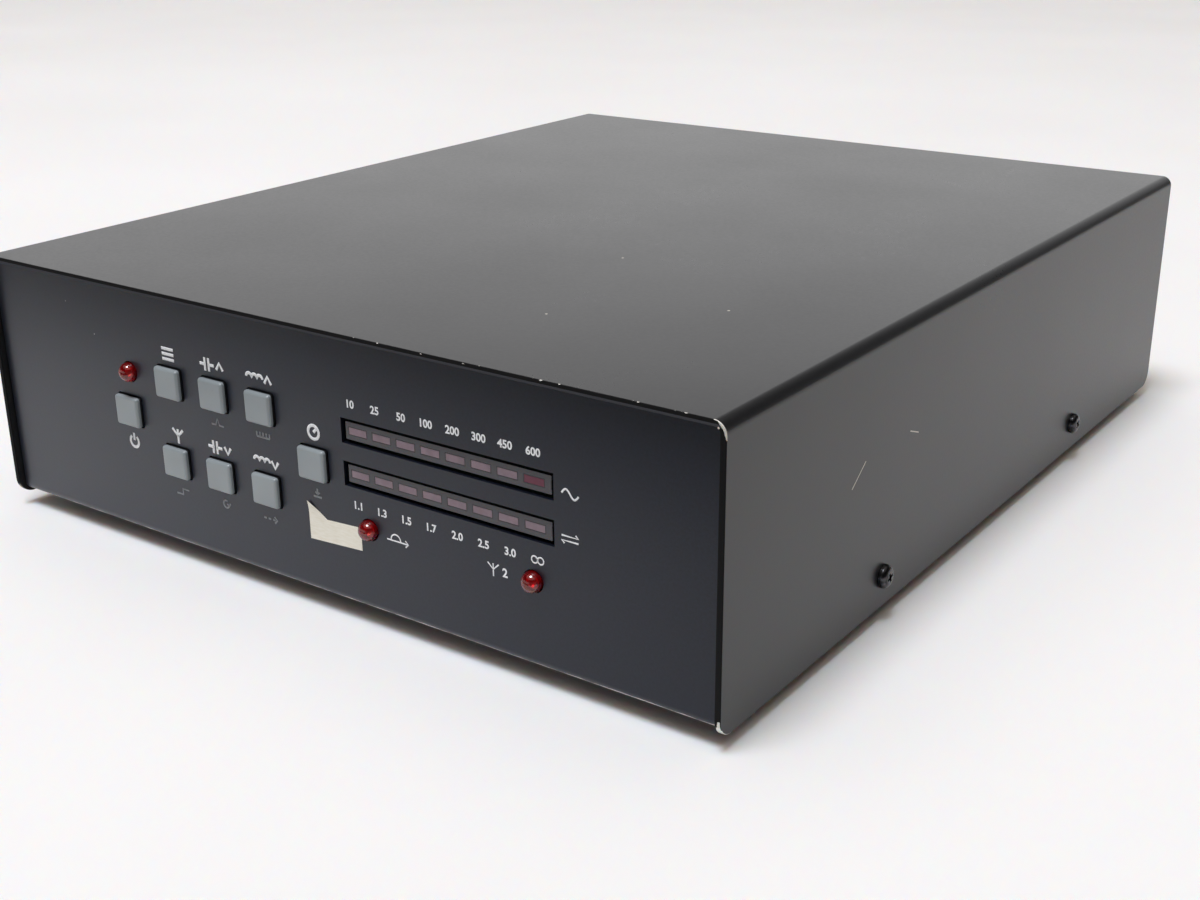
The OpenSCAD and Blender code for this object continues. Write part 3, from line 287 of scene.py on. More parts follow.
# A thin pale line runs along its lower bend at the front, and a few specks of dust lie on the panel.
panel_low, panel_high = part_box("chassis")
along = add(tree, "SeparateXYZ", {"Vector": place})
pale_mark = add(tree, "TexNoise", {"Vector": place, "Scale": 1 / (6 * MM), "Detail": 3.0}).outputs["Fac"]
pale_mark = add(tree, "MapRange", {"Value": pale_mark, "From Min": 0.3, "From Max": 0.7, "To Min": panel_low.z + 0.6 * MM,
                             "To Max": panel_low.z + 1.1 * MM}).outputs[0]
# The pale line: a ragged band just above the lowest part of the front bend.
pale_mark = add(tree, "Math", {0: along.outputs["Z"], 1: pale_mark}, operation="LESS_THAN").outputs[0]
front = add(tree, "Math", {0: along.outputs["Y"], 1: panel_low.y + 2 * MM}, operation="LESS_THAN").outputs[0]
pale_mark = add(tree, "Math", {0: pale_mark, 1: front}, operation="MULTIPLY").outputs[0]
dust = add(tree, "TexVoronoi", {"Vector": place, "Scale": 1 / (13 * MM)})
speck = add(tree, "Math", {0: dust.outputs["Distance"], 1: 0.018}, operation="LESS_THAN").outputs[0]
chosen = add(tree, "SeparateColor", {"Color": dust.outputs["Color"]}).outputs["Red"]
chosen = add(tree, "Math", {0: chosen, 1: 0.7}, operation="GREATER_THAN").outputs[0]
speck = add(tree, "Math", {0: speck, 1: chosen}, operation="MULTIPLY").outputs[0]
marked = add(tree, "Mix", {0: speck, 6: paint, 7: tint("#a8a8a6")}, data_type="RGBA")
shown = add(tree, "Mix", {0: pale_mark, 6: marked.outputs[2], 7: tint("#efe6e8")}, data_type="RGBA")
tree.links.new(shown.outputs[2], shader.inputs["Base Color"])
tree.links.new(sheen, shader.inputs["Roughness"])
bump = add(tree, "Bump", {"Height": grain, "Strength": 0.15, "Distance": 0.015 * MM})
tree.links.new(bump.outputs[0], shader.inputs["Normal"])
# Its gloss falls slowly toward the right, as on a coat that was laid on from the left.
gloss = add(tree, "MapRange", {"Value": along.outputs["X"], "From Min": panel_low.x, "From Max": panel_high.x,
                               "To Min": 0.95, "To Max": 0.42}).outputs[0]
tree.links.new(gloss, shader.inputs["Specular IOR Level"])
shader.inputs["Specular Tint"].default_value = tint("#f3f6ff")
dress(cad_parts["chassis"], panel)
panel_y, rear_y = panel_low.y, panel_high.y

# Side screws
# Four pan head machine screws of blackened steel with a cross recess, through the cover into nuts
# clinched in the side flanges.


def lathe(name, profile, steps):
    """A turned piece about the Z axis, from points of radius and height in millimetres."""
    bpy.ops.object.select_all(action="DESELECT")
    bpy.ops.mesh.primitive_circle_add(vertices=3)
    piece = start(name)
    pick("verts", lambda v: v.index > 0)
    bpy.ops.mesh.delete(type="VERT")
    pick("verts", lambda v: True)
    radius, height = profile[0]
    mesh = bmesh.from_edit_mesh(piece.data)
    mesh.verts.ensure_lookup_table()
    mesh.verts[0].co = (radius * MM, 0, height * MM)
    bmesh.update_edit_mesh(piece.data)
    for next_radius, next_height in profile[1:]:
        step = ((next_radius - radius) * MM, 0, (next_height - height) * MM)
        bpy.ops.mesh.extrude_vertices_move(TRANSFORM_OT_translate={"value": step})
        radius, height = next_radius, next_height
    bpy.ops.mesh.select_all(action="SELECT")
    bpy.ops.mesh.spin(steps=steps, angle=2 * math.pi, center=(0, 0, 0), axis=(0, 0, 1))
    bpy.ops.mesh.select_all(action="SELECT")
    bpy.ops.mesh.remove_doubles(threshold=0.001 * MM)
    bpy.ops.mesh.normals_make_consistent(inside=False)
    bpy.ops.object.mode_set(mode="OBJECT")
    return piece


def settle(piece, location, rotation=(0, 0, 0)):
    """Turns and places a piece, and leaves its object at the origin."""
    only(piece)
    piece.rotation_euler = rotation
    piece.location = location
    bpy.ops.object.transform_apply(location=True, rotation=True, scale=True)


def duplicate(piece, name):
    """A copy of a piece with a mesh of its own."""
    only(piece)
    bpy.ops.object.duplicate(linked=False)
    made = bpy.context.object
    made.name = name
    made.data.name = name
    return made


def gather(pieces, name):
    """Several loose shapes become one piece."""
    bpy.ops.object.select_all(action="DESELECT")
    for piece in pieces:
        piece.select_set(True)
    bpy.context.view_layer.objects.active = pieces[0]
    bpy.ops.object.join()
    pieces[0].name = name
    pieces[0].data.name = name
    return pieces[0]


def smooth(piece, angle):
    """Smooth shading, with edges sharper than the angle kept."""
    only(piece)
    bpy.ops.object.shade_smooth_by_angle(angle=math.radians(angle))


def pan_head(name, head, height, shank, length):
    """A pan head screw that points down from its seat, with a tapered cross recess."""
    flat = head * 0.24
    crown = [(flat + (head / 2 - flat) * math.sin(math.radians(a)),
              height * (0.3 + 0.7 * math.cos(math.radians(a)))) for a in range(0, 91, 15)]
    profile = [(0, height)] + crown + [(head / 2, 0.12), (head / 2 - 0.12, 0)]
    profile += [(shank / 2, 0), (shank / 2, -length + 0.4), (shank / 2 - 0.4, -length), (0, -length)]
    screw = lathe(name, profile, 40)
    for turn in (0, math.pi / 2):
        cutter = block("recess", (0, 0, height * MM), (head * 0.58 * MM, head * 0.15 * MM, height * 1.2 * MM))
        pick("verts", lambda v: v.co.z < height * 0.6 * MM)
        bpy.ops.transform.resize(value=(0.45, 0.7, 1))
        bpy.ops.object.mode_set(mode="OBJECT")
        settle(cutter, (0, 0, 0), (0, 0, turn))
        modify(screw, "BOOLEAN", object=cutter, operation="DIFFERENCE", solver="EXACT")
        bpy.data.objects.remove(cutter)
    smooth(screw, 30)
    return screw


screw = pan_head("side_screw", 6.5, 2.15, 3.4, 8)
low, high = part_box("cover_screws")
# The heads of the solids reach this far past their axes.
HEAD_REACH = 3.45 * MM
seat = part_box("cover")[1].x
middle_z = (low.z + high.z) / 2
screws = []
for side in (-1, 1):
    for y, turn in ((low.y + HEAD_REACH, 0.35), (high.y - HEAD_REACH, 0.9)):
        made = duplicate(screw, "side_screw_copy")
        settle(made, (0, 0, 0), (0, 0, turn))
        settle(made, (side * seat, y, middle_z), (0, side * math.pi / 2, 0))
        screws.append(made)
bpy.data.objects.remove(screw)
screws = gather(screws, "side_screws")
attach(screws, "case")
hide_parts("cover_screws")
# Blackened steel: a thin dark oxide over turned metal, glossy, and grey in patches where it is rubbed.
oxide, tree, shader, place = material("blackened_steel", 0.25, 0.9)
pale_mark = mottle(tree, shader, place, 1.5 * MM, 3.0, "#2b2b2d", "#6a6a6c", 0.4, 0.8)[0]
rough = add(tree, "MapRange", {"Value": pale_mark, "To Min": 0.14, "To Max": 0.34}).outputs[0]
tree.links.new(rough, shader.inputs["Roughness"])
dress(screws, oxide)

# Feet
# Four feet of moulded rubber that widen toward the case, with a well in the middle for the screw
# that fixes each one under the floor.
FOOT = 7.5
foot = lathe("foot", [(0, 2.2), (2.2, 2.2), (2.4, 0.3), (2.7, 0), (5.9, 0), (6.35, 0.25), (6.55, 0.7),
                      (7.4, 4.7), (FOOT, 5), (0, 5)], 48)
smooth(foot, 40)
low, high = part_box("feet")
feet = []
for x in (low.x + FOOT * MM, high.x - FOOT * MM):
    for y in (low.y + FOOT * MM, high.y - FOOT * MM):
        made = duplicate(foot, "foot_copy")
        settle(made, (x, y, 0))
        feet.append(made)
bpy.data.objects.remove(foot)
feet = gather(feet, "rubber_feet")
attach(feet, "case")
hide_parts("feet")
# Moulded rubber: matt black with a slight bloom that greys it in patches.
rubber, tree, shader, place = material("moulded_rubber", 0.8)
bloom = mottle(tree, shader, place, 3 * MM, 4.0, "#131314", "#2a2a2b")[0]
bump = add(tree, "Bump", {"Height": bloom, "Strength": 0.3, "Distance": 0.05 * MM})
tree.links.new(bump.outputs[0], shader.inputs["Normal"])
dress(feet, rubber)

# Button caps
# Eight caps, each pressed on the plunger of its switch: a grey moulded face with softly rounded edges
# over a black skirt, whose black also stands in for painted shade on the caps' sides.
KEYS = ("power", "function", "c_up", "l_up", "antenna", "c_down", "l_down", "tune")
SOFT_EDGE = 0.85 * MM
FACE_DEPTH = 1.3 * MM
# Moulded ABS: an even cool grey with a soft gloss and a fine spark-eroded texture of about a third of
# a millimetre, drawn at half a millimetre so that it shows.
abs_grey, tree, shader, place = material("grey_moulded_abs", 0.3)
spark = add(tree, "TexNoise", {"Vector": place, "Scale": 1 / (0.5 * MM), "Detail": 2.0}).outputs["Fac"]
mottle(tree, shader, place, 14 * MM, 1.0, "#8b9396", "#959da0", 0.3, 0.7)
rough = add(tree, "MapRange", {"Value": spark, "To Min": 0.26, "To Max": 0.32}).outputs[0]
tree.links.new(rough, shader.inputs["Roughness"])
bump = add(tree, "Bump", {"Height": spark, "Strength": 0.04, "Distance": 0.02 * MM})
tree.links.new(bump.outputs[0], shader.inputs["Normal"])
shader.inputs["Specular IOR Level"].default_value = 0.8
low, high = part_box("button_power")
first_cap = block("cap_power", (low + high) / 2, high - low)
pick("edges", lambda e: min(v.co.y for v in e.verts) < low.y + 0.01 * MM)
bpy.ops.mesh.bevel(offset=SOFT_EDGE, segments=6, affect="EDGES")
parting = low.y + FACE_DEPTH
bpy.ops.mesh.select_all(action="SELECT")
bpy.ops.mesh.bisect(plane_co=(0, parting, 0), plane_no=(0, 1, 0))
round_edges(first_cap, 0.1 * MM, 60)
dress(first_cap, abs_grey)
# Black ABS of the skirt: the same texture with a duller shine. Its black also stands in for painted shade on
# the caps' sides.
abs_black_and_shade, tree, shader, place = material("black_moulded_abs", 0.4)
mottle(tree, shader, place, 0.5 * MM, 2.0, "#0b0b0c", "#18181a")
first_cap.data.materials.append(abs_black_and_shade)
for face in first_cap.data.polygons:
    if face.center.y > parting:
        face.material_index = 1
middle = (low + high) / 2
for key in KEYS:
    low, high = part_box("button_" + key)
    cap = first_cap
    if key != "power":
        cap = duplicate(first_cap, "cap_" + key)
        settle(cap, (low + high) / 2 - middle)
    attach(cap, "key_" + key)
    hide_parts("button_" + key)

# Plungers and switches
# White acetal plungers run in black moulded push switches, which are soldered to the display board
# behind the panel.
acetal, tree, shader, place = material("white_acetal", 0.4)
mottle(tree, shader, place, 2 * MM, 2.0, "#dcdad2", "#ecebe4")
for key in KEYS:
    dress(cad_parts["plunger_" + key], acetal)
# Black glass filled nylon: matt, with a mottled flow of fibres near the surface.
nylon, tree, shader, place = material("black_filled_nylon", 0.5)
flow = mottle(tree, shader, place, 1.2 * MM, 4.0, "#121213", "#242426")[0]
rough = add(tree, "MapRange", {"Value": flow, "To Min": 0.4, "To Max": 0.6}).outputs[0]
tree.links.new(rough, shader.inputs["Roughness"])
for name in ("switches", "ribbon_headers", "controller_chip", "signal_jacks", "power_jack"):
    dress(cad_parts[name], nylon)

# Lamps
# Three red 5 mm lamps: a domed lens of dyed epoxy with a rim, cast round a small cup and two tinned
# leads. They stand through round holes of the panel and are not lit.
LENS, RIM, LEAD_GAP, LEAD = 2.75, 3.4, 1.27, 0.6
dome = [(LENS * math.sin(math.radians(a)), 0.45 + LENS * math.cos(math.radians(a))) for a in range(0, 91, 6)]
lens = lathe("lens", dome + [(LENS, -1.9), (RIM, -1.9), (RIM, -2.8), (RIM - 0.1, -2.9), (0, -2.9)], 48)
smooth(lens, 50)
cup = lathe("cup", [(0, -0.6), (0.5, -0.6), (1.05, 0.1), (1.2, 0.1), (0.7, -1.0), (0.3, -1.0), (0.3, -2.6),
                    (0, -2.6)], 24)
smooth(cup, 40)
lenses = []
cups = []
lamp_places = [(-67.7, 53.9), (21.2, 28.0), (73.7, 28.0)]
for x, z in lamp_places:
    seat = (x * MM, panel_y, z * MM)
    for shape, group in ((lens, lenses), (cup, cups)):
        made = duplicate(shape, shape.name + "_copy")
        settle(made, seat, (math.pi / 2, 0, 0))
        group.append(made)
    for side in (-1, 1):
        lead = block("lead", ((x + side * LEAD_GAP) * MM, panel_y + 5.9 * MM, z * MM),
                     (LEAD * MM, 6.0 * MM, LEAD * MM))
        pick("faces", lambda f: f.normal.y < -0.5)
        bpy.ops.mesh.inset(thickness=0.12 * MM)
        bpy.ops.mesh.extrude_region_move(TRANSFORM_OT_translate={"value": (0, -0.2 * MM, 0)})
        bpy.ops.object.mode_set(mode="OBJECT")
        cups.append(lead)
bpy.data.objects.remove(lens)
bpy.data.objects.remove(cup)
lenses = gather(lenses, "lamp_lenses")
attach(lenses, "case")
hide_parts("lamps")
leads = gather(cups, "lamp_leads")
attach(leads, "case")
# Dyed epoxy: clear deep red casting resin with a wet gloss.
epoxy, tree, shader, place = material("red_casting_epoxy", 0.03)
mottle(tree, shader, place, 2.5 * MM, 1.0, "#b8060d", "#d40c13")
shader.inputs["Transmission Weight"].default_value = 0.8
shader.inputs["Coat Weight"].default_value = 0.5
shader.inputs["IOR"].default_value = 1.53
dress(lenses, epoxy)
# Tinned copper: soft silver with a matt solder skin.
tinned, tree, shader, place = material("tinned_copper", 0.35, 1.0)
mottle(tree, shader, place, 0.8 * MM, 2.0, "#a9abad", "#d2d3d4")
dress(leads, tinned)

# Bar meters
# Two bars of smoked acrylic behind slots in the panel, each with a row of pale diffusers for the
# lamps behind them. Unlit, the diffusers look dusty pink through the smoke.
window_w, window_h, pitch = 5.8 * MM, 1.8 * MM, 7.95 * MM
first_window, last_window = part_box("meter_segments")


def window_mask(tree, place, past):
    """Shader socket that is 1 within a distance past the border of any diffuser, and 0 elsewhere."""
    along = add(tree, "SeparateXYZ", {"Vector": place})
    inside = 1.0
    for axis, begin, step, size in (
            ("X", last_window.x - window_w / 2, pitch, window_w),
            ("Z", last_window.z - window_h / 2, last_window.z - first_window.z - window_h, window_h)):
        off = add(tree, "Math", {0: along.outputs[axis], 1: begin}, operation="SUBTRACT").outputs[0]
        off = add(tree, "Math", {0: off, 1: step / 2}, operation="PINGPONG").outputs[0]
        off = add(tree, "Math", {0: off, 1: size / 2 + past}, operation="LESS_THAN").outputs[0]
        inside = add(tree, "Math", {0: inside, 1: off}, operation="MULTIPLY").outputs[0]
    return inside


# Smoked acrylic: glossy and nearly black, greyed by what it lets through, with painted shade darkening it
# round each place.
smoke, tree, shader, place = material("smoked_acrylic", 0.22)
shade = mottle(tree, shader, place, 9 * MM, 2.0, "#3c3b40", "#49484d")[1]
# Painted shade: a darker band just outside the border of each diffuser.
painted_window_shade = window_mask(tree, place, 0.3 * MM)
shown = add(tree, "Mix", {0: painted_window_shade, 6: shade, 7: tint("#29272b")}, data_type="RGBA")
tree.links.new(shown.outputs[2], shader.inputs["Base Color"])
dress(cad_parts["meter_bars"], smoke)
# Pink diffuser resin: milky and matt, dusty through the smoke; the last place of the upper row is red.
diffuser, tree, shader, place = material("pink_diffuser_resin", 0.4)
shade = mottle(tree, shader, place, 3 * MM, 3.0, "#7e6c75", "#927d87", 0.3, 0.7)[1]
along = add(tree, "SeparateXYZ", {"Vector": place})
final = add(tree, "Math", {0: along.outputs["X"], 1: last_window.x - pitch}, operation="GREATER_THAN")
upper = add(tree, "Math", {0: along.outputs["Z"], 1: last_window.z - 4 * MM}, operation="GREATER_THAN")
red = add(tree, "Math", {0: final.outputs[0], 1: upper.outputs[0]}, operation="MULTIPLY").outputs[0]
shown = add(tree, "Mix", {0: red, 6: shade, 7: tint("#672c40")}, data_type="RGBA").outputs[2]
tree.links.new(shown, shader.inputs["Base Color"])
dress(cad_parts["meter_segments"], diffuser)

# Panel print
# White and grey screen ink on both panels: numbers over the power scale and under the ratio scale, and
# plain signs at the buttons, lamps and sockets. The ink stands a few hundredths of a millimetre proud.
INK = 0.03 * MM


def lay_on_panel(piece, x, z, rear):
    """Stands flat print upright on the front or rear panel, its middle at x and z in millimetres."""
    settle(piece, (0, 0, 0), (math.pi / 2, 0, math.pi if rear else 0))
    co = [v.co for v in piece.data.vertices]
    middle_x = (min(c.x for c in co) + max(c.x for c in co)) / 2
    middle_z = (min(c.z for c in co) + max(c.z for c in co)) / 2
    face = rear_y - min(c.y for c in co) if rear else panel_y - max(c.y for c in co)
    settle(piece, (x * MM - middle_x, face, z * MM - middle_z))
    return piece


def number(words, x, z, height, rear=False):
    """Digits of a given height in millimetres, as thin ink."""
    bpy.ops.object.select_all(action="DESELECT")
    bpy.ops.object.text_add()
    text = bpy.context.object
    text.data.body = words
    text.data.extrude = 0.01
    text.data.resolution_u = 4
    text.data.offset = 0.028
    bpy.ops.object.convert(target="MESH")
    made = bpy.context.object
    tall = made.dimensions.y
    made.scale = (height * MM / tall, height * MM / tall, INK / made.dimensions.z)
    bpy.ops.object.transform_apply(location=True, rotation=True, scale=True)
    return lay_on_panel(made, x, z, rear)


def sign(strokes, x, z, width, grow=1.0, rear=False):
    """Lines of one width through points in millimetres, as thin ink about x and z."""
    line = bpy.data.curves.new("sign", "CURVE")
    line.dimensions = "3D"
    line.bevel_depth = width / 2 * MM
    line.bevel_resolution = 1
    line.use_fill_caps = True
    for stroke in strokes:
        spline = line.splines.new("POLY")
        spline.points.add(len(stroke) - 1)
        for point, (u, v) in zip(spline.points, stroke):
            point.co = (u * grow * MM, v * grow * MM, 0, 1)
    made = bpy.data.objects.new("sign", line)
    bpy.context.scene.collection.objects.link(made)
    only(made)
    bpy.ops.object.convert(target="MESH")
    made = bpy.context.object
    made.scale = (1, 1, INK / (width * MM))
    bpy.ops.object.transform_apply(location=True, rotation=True, scale=True)
    return lay_on_panel(made, x, z, rear)


def arc(radius, begin, end, u=0.0, v=0.0):
    """Points of an arc in degrees about u and v."""
    steps = max(4, int(abs(end - begin) / 15))
    turns = [math.radians(begin + (end - begin) * i / steps) for i in range(steps + 1)]
    return [(u + radius * math.cos(t), v + radius * math.sin(t)) for t in turns]


white = []
POWER_ROW, RATIO_ROW, DIGIT = 61.15, 33.85, 2.2
for words, x in zip(("10", "25", "50", "100", "200", "300", "450", "600"),
                    (17.3, 25.4, 34.1, 42.2, 50.4, 58.5, 66.3, 74.6)):
    white.append(number(words, x, POWER_ROW, DIGIT))
for i, words in enumerate(("1.1", "1.3", "1.5", "1.7", "2.0", "2.5", "3.0")):
    white.append(number(words, 17.8 + 8.2 * i, RATIO_ROW, DIGIT))
white.append(sign([arc(0.9, 0, 360, -0.9), arc(0.9, 0, 360, 0.9)], 75.2, RATIO_ROW, 0.4))
up = [(2.9, -0.7), (3.9, 0.9), (4.9, -0.7)]
down = [(2.9, 0.7), (3.9, -0.9), (4.9, 0.7)]
plates = [[(-0.6, -1.5), (-0.6, 1.5)], [(0.6, -1.5), (0.6, 1.5)],
          [(-2.2, 0), (-0.6, 0)], [(0.6, 0), (2.2, 0)]]
coil = [arc(0.8, 180, 0, -1.6) + arc(0.8, 180, 0) + arc(0.8, 180, 0, 1.6)]
mast = [[(0, -1.7), (0, 1.7)], [(-1.7, 1.7), (0, 0.1), (1.7, 1.7)]]
menu = [[(-1.9, -1.2), (1.9, -1.2)], [(-1.9, 0), (1.9, 0)], [(-1.9, 1.2), (1.9, 1.2)]]
for strokes, x, z in (
        ([arc(1.4, 125, 415), [(0, 0.2), (0, 2.0)]], -69.2, 33.0),
        (menu, -50.6, 62.0),
        (plates + [up], -33.1, 62.0),
        (coil + [up], -15.3, 61.9),
        (mast, -49.9, 38.5),
        (plates + [down], -33.0, 38.4),
        (coil + [down], -15.2, 38.3),
        ([arc(1.5, 0, 360), [(0, 0), (1.0, 1.0)]], 3.5, 50.8)):
    white.append(sign(strokes, x, z, 0.9, 1.25))
wave = [(0.1 * i - 2.4, 1.1 * math.sin(0.1 * i * math.pi / 2.4)) for i in range(49)]
white.append(sign([wave], 85.0, 52.9, 0.5))
white.append(sign([[(-2.4, 0.6), (2.4, 0.6), (1.6, 1.3)], [(2.4, -0.6), (-2.4, -0.6), (-1.6, -1.3)]],
                  84.8, 41.7, 0.5))
white.append(sign([[(-3.6, 0), (3.6, 0)], [(2.6, 0.9), (3.6, 0), (2.6, -0.9)], arc(1.6, 180, 0, -0.6, 0.2)],
                  30.8, 27.6, 0.4))
white.append(sign(mast, 61.6, 27.85, 0.4))
white.append(number("2", 65.2, 27.85, 2.4))
# On the rear panel: a wave over the radio socket, numbered masts over the antenna sockets, a ground
# sign over the stud, arrows over the signal jacks and a direct current sign over the power jack.
arrow = [[(0, -1.5), (0, 1.5)], [(-0.9, 0.6), (0, 1.5), (0.9, 0.6)]]
fall = [[(u, -v) for u, v in stroke] for stroke in arrow]
earth = [[(0, 1.8), (0, 0)], [(-1.8, 0), (1.8, 0)], [(-1.1, -0.8), (1.1, -0.8)], [(-0.4, -1.6), (0.4, -1.6)]]
supply = [[(-2, 0.6), (2, 0.6)]] + [[(u, -0.6), (u + 0.8, -0.6)] for u in (-2, -0.4, 1.2)]
SOCKETS = ("radio_socket", "antenna_socket_1", "antenna_socket_2")
for node, digit in zip(SOCKETS, ("", "1", "2")):
    low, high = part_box(node)
    x, z = (low.x + high.x) / 2 / MM, high.z / MM + 4.5
    if digit:
        white.append(sign(mast, x + 2.2, z, 0.6, rear=True))
        white.append(number(digit, x - 2.2, z, 3.4, rear=True))
    else:
        white.append(sign([wave], x, z, 0.6, 1.3, rear=True))
low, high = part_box("jack_nuts")
reach = (high.z - low.z) / 2
for strokes, x, z, rise in (
        (arrow, low.x + reach, high.z, 4.0),
        (fall, high.x - reach, high.z, 4.0),
        (earth, sum(v.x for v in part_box("ground_stud")) / 2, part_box("ground_stud")[1].z, 10.0),
        (supply, sum(v.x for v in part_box("power_jack_pin")) / 2, high.z, 4.0)):
    white.append(sign(strokes, x / MM, z / MM + rise, 0.6, 1.2, rear=True))
white = gather(white, "white_print")
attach(white, "case")
grey = []
comb = [[(-2, -0.6), (2, -0.6)]] + [[(i, -0.6), (i, 0.5)] for i in (-2, -1, 0, 1, 2)]
dashes = [[(-2, 0), (-1.2, 0)], [(-0.6, 0), (0.2, 0)], [(0.8, 0), (1.6, 0)]]
for strokes, x, z in (
        ([[(-2, -0.7), (-0.6, -0.7), (0, 0.8), (0.6, -0.7), (2, -0.7)]], -33.0, 46.1),
        (comb, -15.4, 45.9),
        ([[(-2.2, -0.7), (0, -0.7), (0, 0.7), (2.2, 0.7)]], -50.4, 21.7),
        ([arc(0.9, 60, 350), [(0.3, 0.0), (0.9, -0.3), (1.4, 0.3)]], -32.4, 22.2),
        (dashes + [[(1.4, 0.8), (2.2, 0), (1.4, -0.8)]], -15.2, 22.0),
        ([[(0, 1.0), (0, -0.4)], [(-0.6, 0.2), (0, -0.4), (0.6, 0.2)],
          [(-1.2, -0.9), (1.2, -0.9)]], 3.3, 33.9)):
    grey.append(sign(strokes, x, z, 0.6, 1.2))
grey = gather(grey, "grey_print")
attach(grey, "case")
# Screen ink: flat matt pigment, a little thin and uneven where the mesh left it.
for piece, name, dark, pale in ((white, "white_screen_ink", "#e9ebee", "#fafbfb"),
                                (grey, "grey_screen_ink", "#7c7f84", "#93969a")):
    ink, tree, shader, place = material(name, 0.55)
    mottle(tree, shader, place, 0.6 * MM, 2.0, dark, pale, 0.3, 0.6)
    dress(piece, ink)

# Paper tape
# A strip of cream paper tape stuck across the foot of the scale, torn to a point at its left end,
# where it lifts a little from the panel.
low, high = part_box("paper_tape")
outline = [(0, 0), (18.5, 1.1), (18.5, 7.5), (6.5, 6.79), (0, 10.9)]
LIFT_FROM, LIFT, RIPPLE = 7.0 * MM, 0.55 * MM, 0.02 * MM
bpy.ops.object.select_all(action="DESELECT")
bpy.ops.mesh.primitive_circle_add(vertices=5, radius=MM, fill_type="NGON")
tape = start("tape_strip")
mesh = bmesh.from_edit_mesh(tape.data)
mesh.verts.ensure_lookup_table()
for vert, (u, v) in zip(mesh.verts, outline):
    vert.co = (low.x + u * MM, high.y - RIPPLE, low.z + v * MM)
bmesh.update_edit_mesh(tape.data)
bpy.ops.mesh.select_all(action="SELECT")
bpy.ops.mesh.quads_convert_to_tris()
bpy.ops.mesh.subdivide(number_cuts=7)
mesh = bmesh.from_edit_mesh(tape.data)
for vert in mesh.verts:
    lift = max(0.0, (vert.co.z - low.z - LIFT_FROM) / (4 * MM)) ** 2
    ripple = RIPPLE * math.sin((vert.co.x - low.x) / MM * 1.3)
    vert.co.y -= LIFT * lift + ripple + RIPPLE
bmesh.update_edit_mesh(tape.data)
bpy.ops.mesh.select_all(action="SELECT")
bpy.ops.mesh.normals_make_consistent(inside=False)
bpy.ops.object.mode_set(mode="OBJECT")
modify(tape, "SOLIDIFY", thickness=0.1 * MM, offset=0)
smooth(tape, 40)
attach(tape, "case")
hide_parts("paper_tape")
# Cream crepe paper: matt, with short fibres that run along the strip and faint yellowing.
paper, tree, shader, place = material("cream_paper_tape", 0.85)
stretch = add(tree, "Mapping", {"Vector": place, "Scale": (0.2, 1.0, 1.0)}).outputs[0]
fibre = mottle(tree, shader, stretch, 0.5 * MM, 3.0, "#f3eddb", "#fcf8eb", 0.3, 0.7)[0]
bump = add(tree, "Bump", {"Height": fibre, "Strength": 0.3, "Distance": 0.03 * MM})
tree.links.new(bump.outputs[0], shader.inputs["Normal"])
dress(tape, paper)

# Boards
# Display board behind the panel and main board over the floor, both of glass epoxy laminate with a
# green mask, joined by a grey ribbon cable.
laminate, tree, shader, place = material("green_epoxy_laminate", 0.35)
mottle(tree, shader, place, 4 * MM, 4.0, "#1f4a2e", "#356a45")
for name in ("display_board", "main_board"):
    dress(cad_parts[name], laminate)
# Ribbon of soft PVC: grey conductors side by side, 1.27 mm apart.
ribbon, tree, shader, place = material("grey_pvc_ribbon", 0.5)
WIRE = 1.27 * MM
lines = add(tree, "TexWave", {"Vector": place, "Scale": 0.1 * math.pi / WIRE}).outputs["Fac"]
shade = add(tree, "ValToRGB", {"Fac": lines})
shade.color_ramp.elements[0].color = tint("#77797d")
shade.color_ramp.elements[1].color = tint("#a4a6aa")
tree.links.new(shade.outputs["Color"], shader.inputs["Base Color"])
dress(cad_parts["ribbon_cable"], ribbon)
# Black PVC sleeve of the leads, a little uneven from extrusion.
sleeve, tree, shader, place = material("black_pvc_sleeve", 0.45)
mottle(tree, shader, place, 2 * MM, 2.0, "#1d1d1f", "#303033")
dress(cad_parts["socket_leads"], sleeve)

# Parts on the main board
# Sealed relays, ring coils, tuning capacitors, supply capacitors and the sensing ring, all soldered
# to the main board and hidden under the cover.
for name, finish, dark, pale, roughness, metal, grit in (
        # Moulded PBT: an even dark blue with a soft shine.
        ("relays", "blue_moulded_pbt", "#16244f", "#20316a", 0.4, 0.0, 3.0),
        # Iron powder under yellow paint: thick and matt, with the grain showing through.
        ("coil_cores", "yellow_painted_iron_powder", "#a08a22", "#c2ab3a", 0.6, 0.0, 1.0),
        # Copper wire in clear enamel: a reddish shine.
        ("coil_windings", "enamelled_copper_wire", "#9a4f1e", "#c4773a", 0.3, 1.0, 1.5),
        # Dipped epoxy: brick orange, uneven where it ran.
        ("capacitors", "orange_dipped_epoxy", "#97401f", "#b45a34", 0.45, 0.0, 2.0),
        # Shrunk vinyl over an aluminium can: glossy blue black.
        ("filter_capacitors", "blue_black_shrunk_vinyl", "#22242f", "#353846", 0.3, 0.0, 4.0),
        # Sintered ferrite: dry dark grey like slate.
        ("sensing_ring", "sintered_ferrite", "#303134", "#48494d", 0.7, 0.0, 0.8)):
    part, tree, shader, place = material(finish, roughness, metal)
    mottle(tree, shader, place, grit * MM, 3.0, dark, pale)
    dress(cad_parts[name], part)

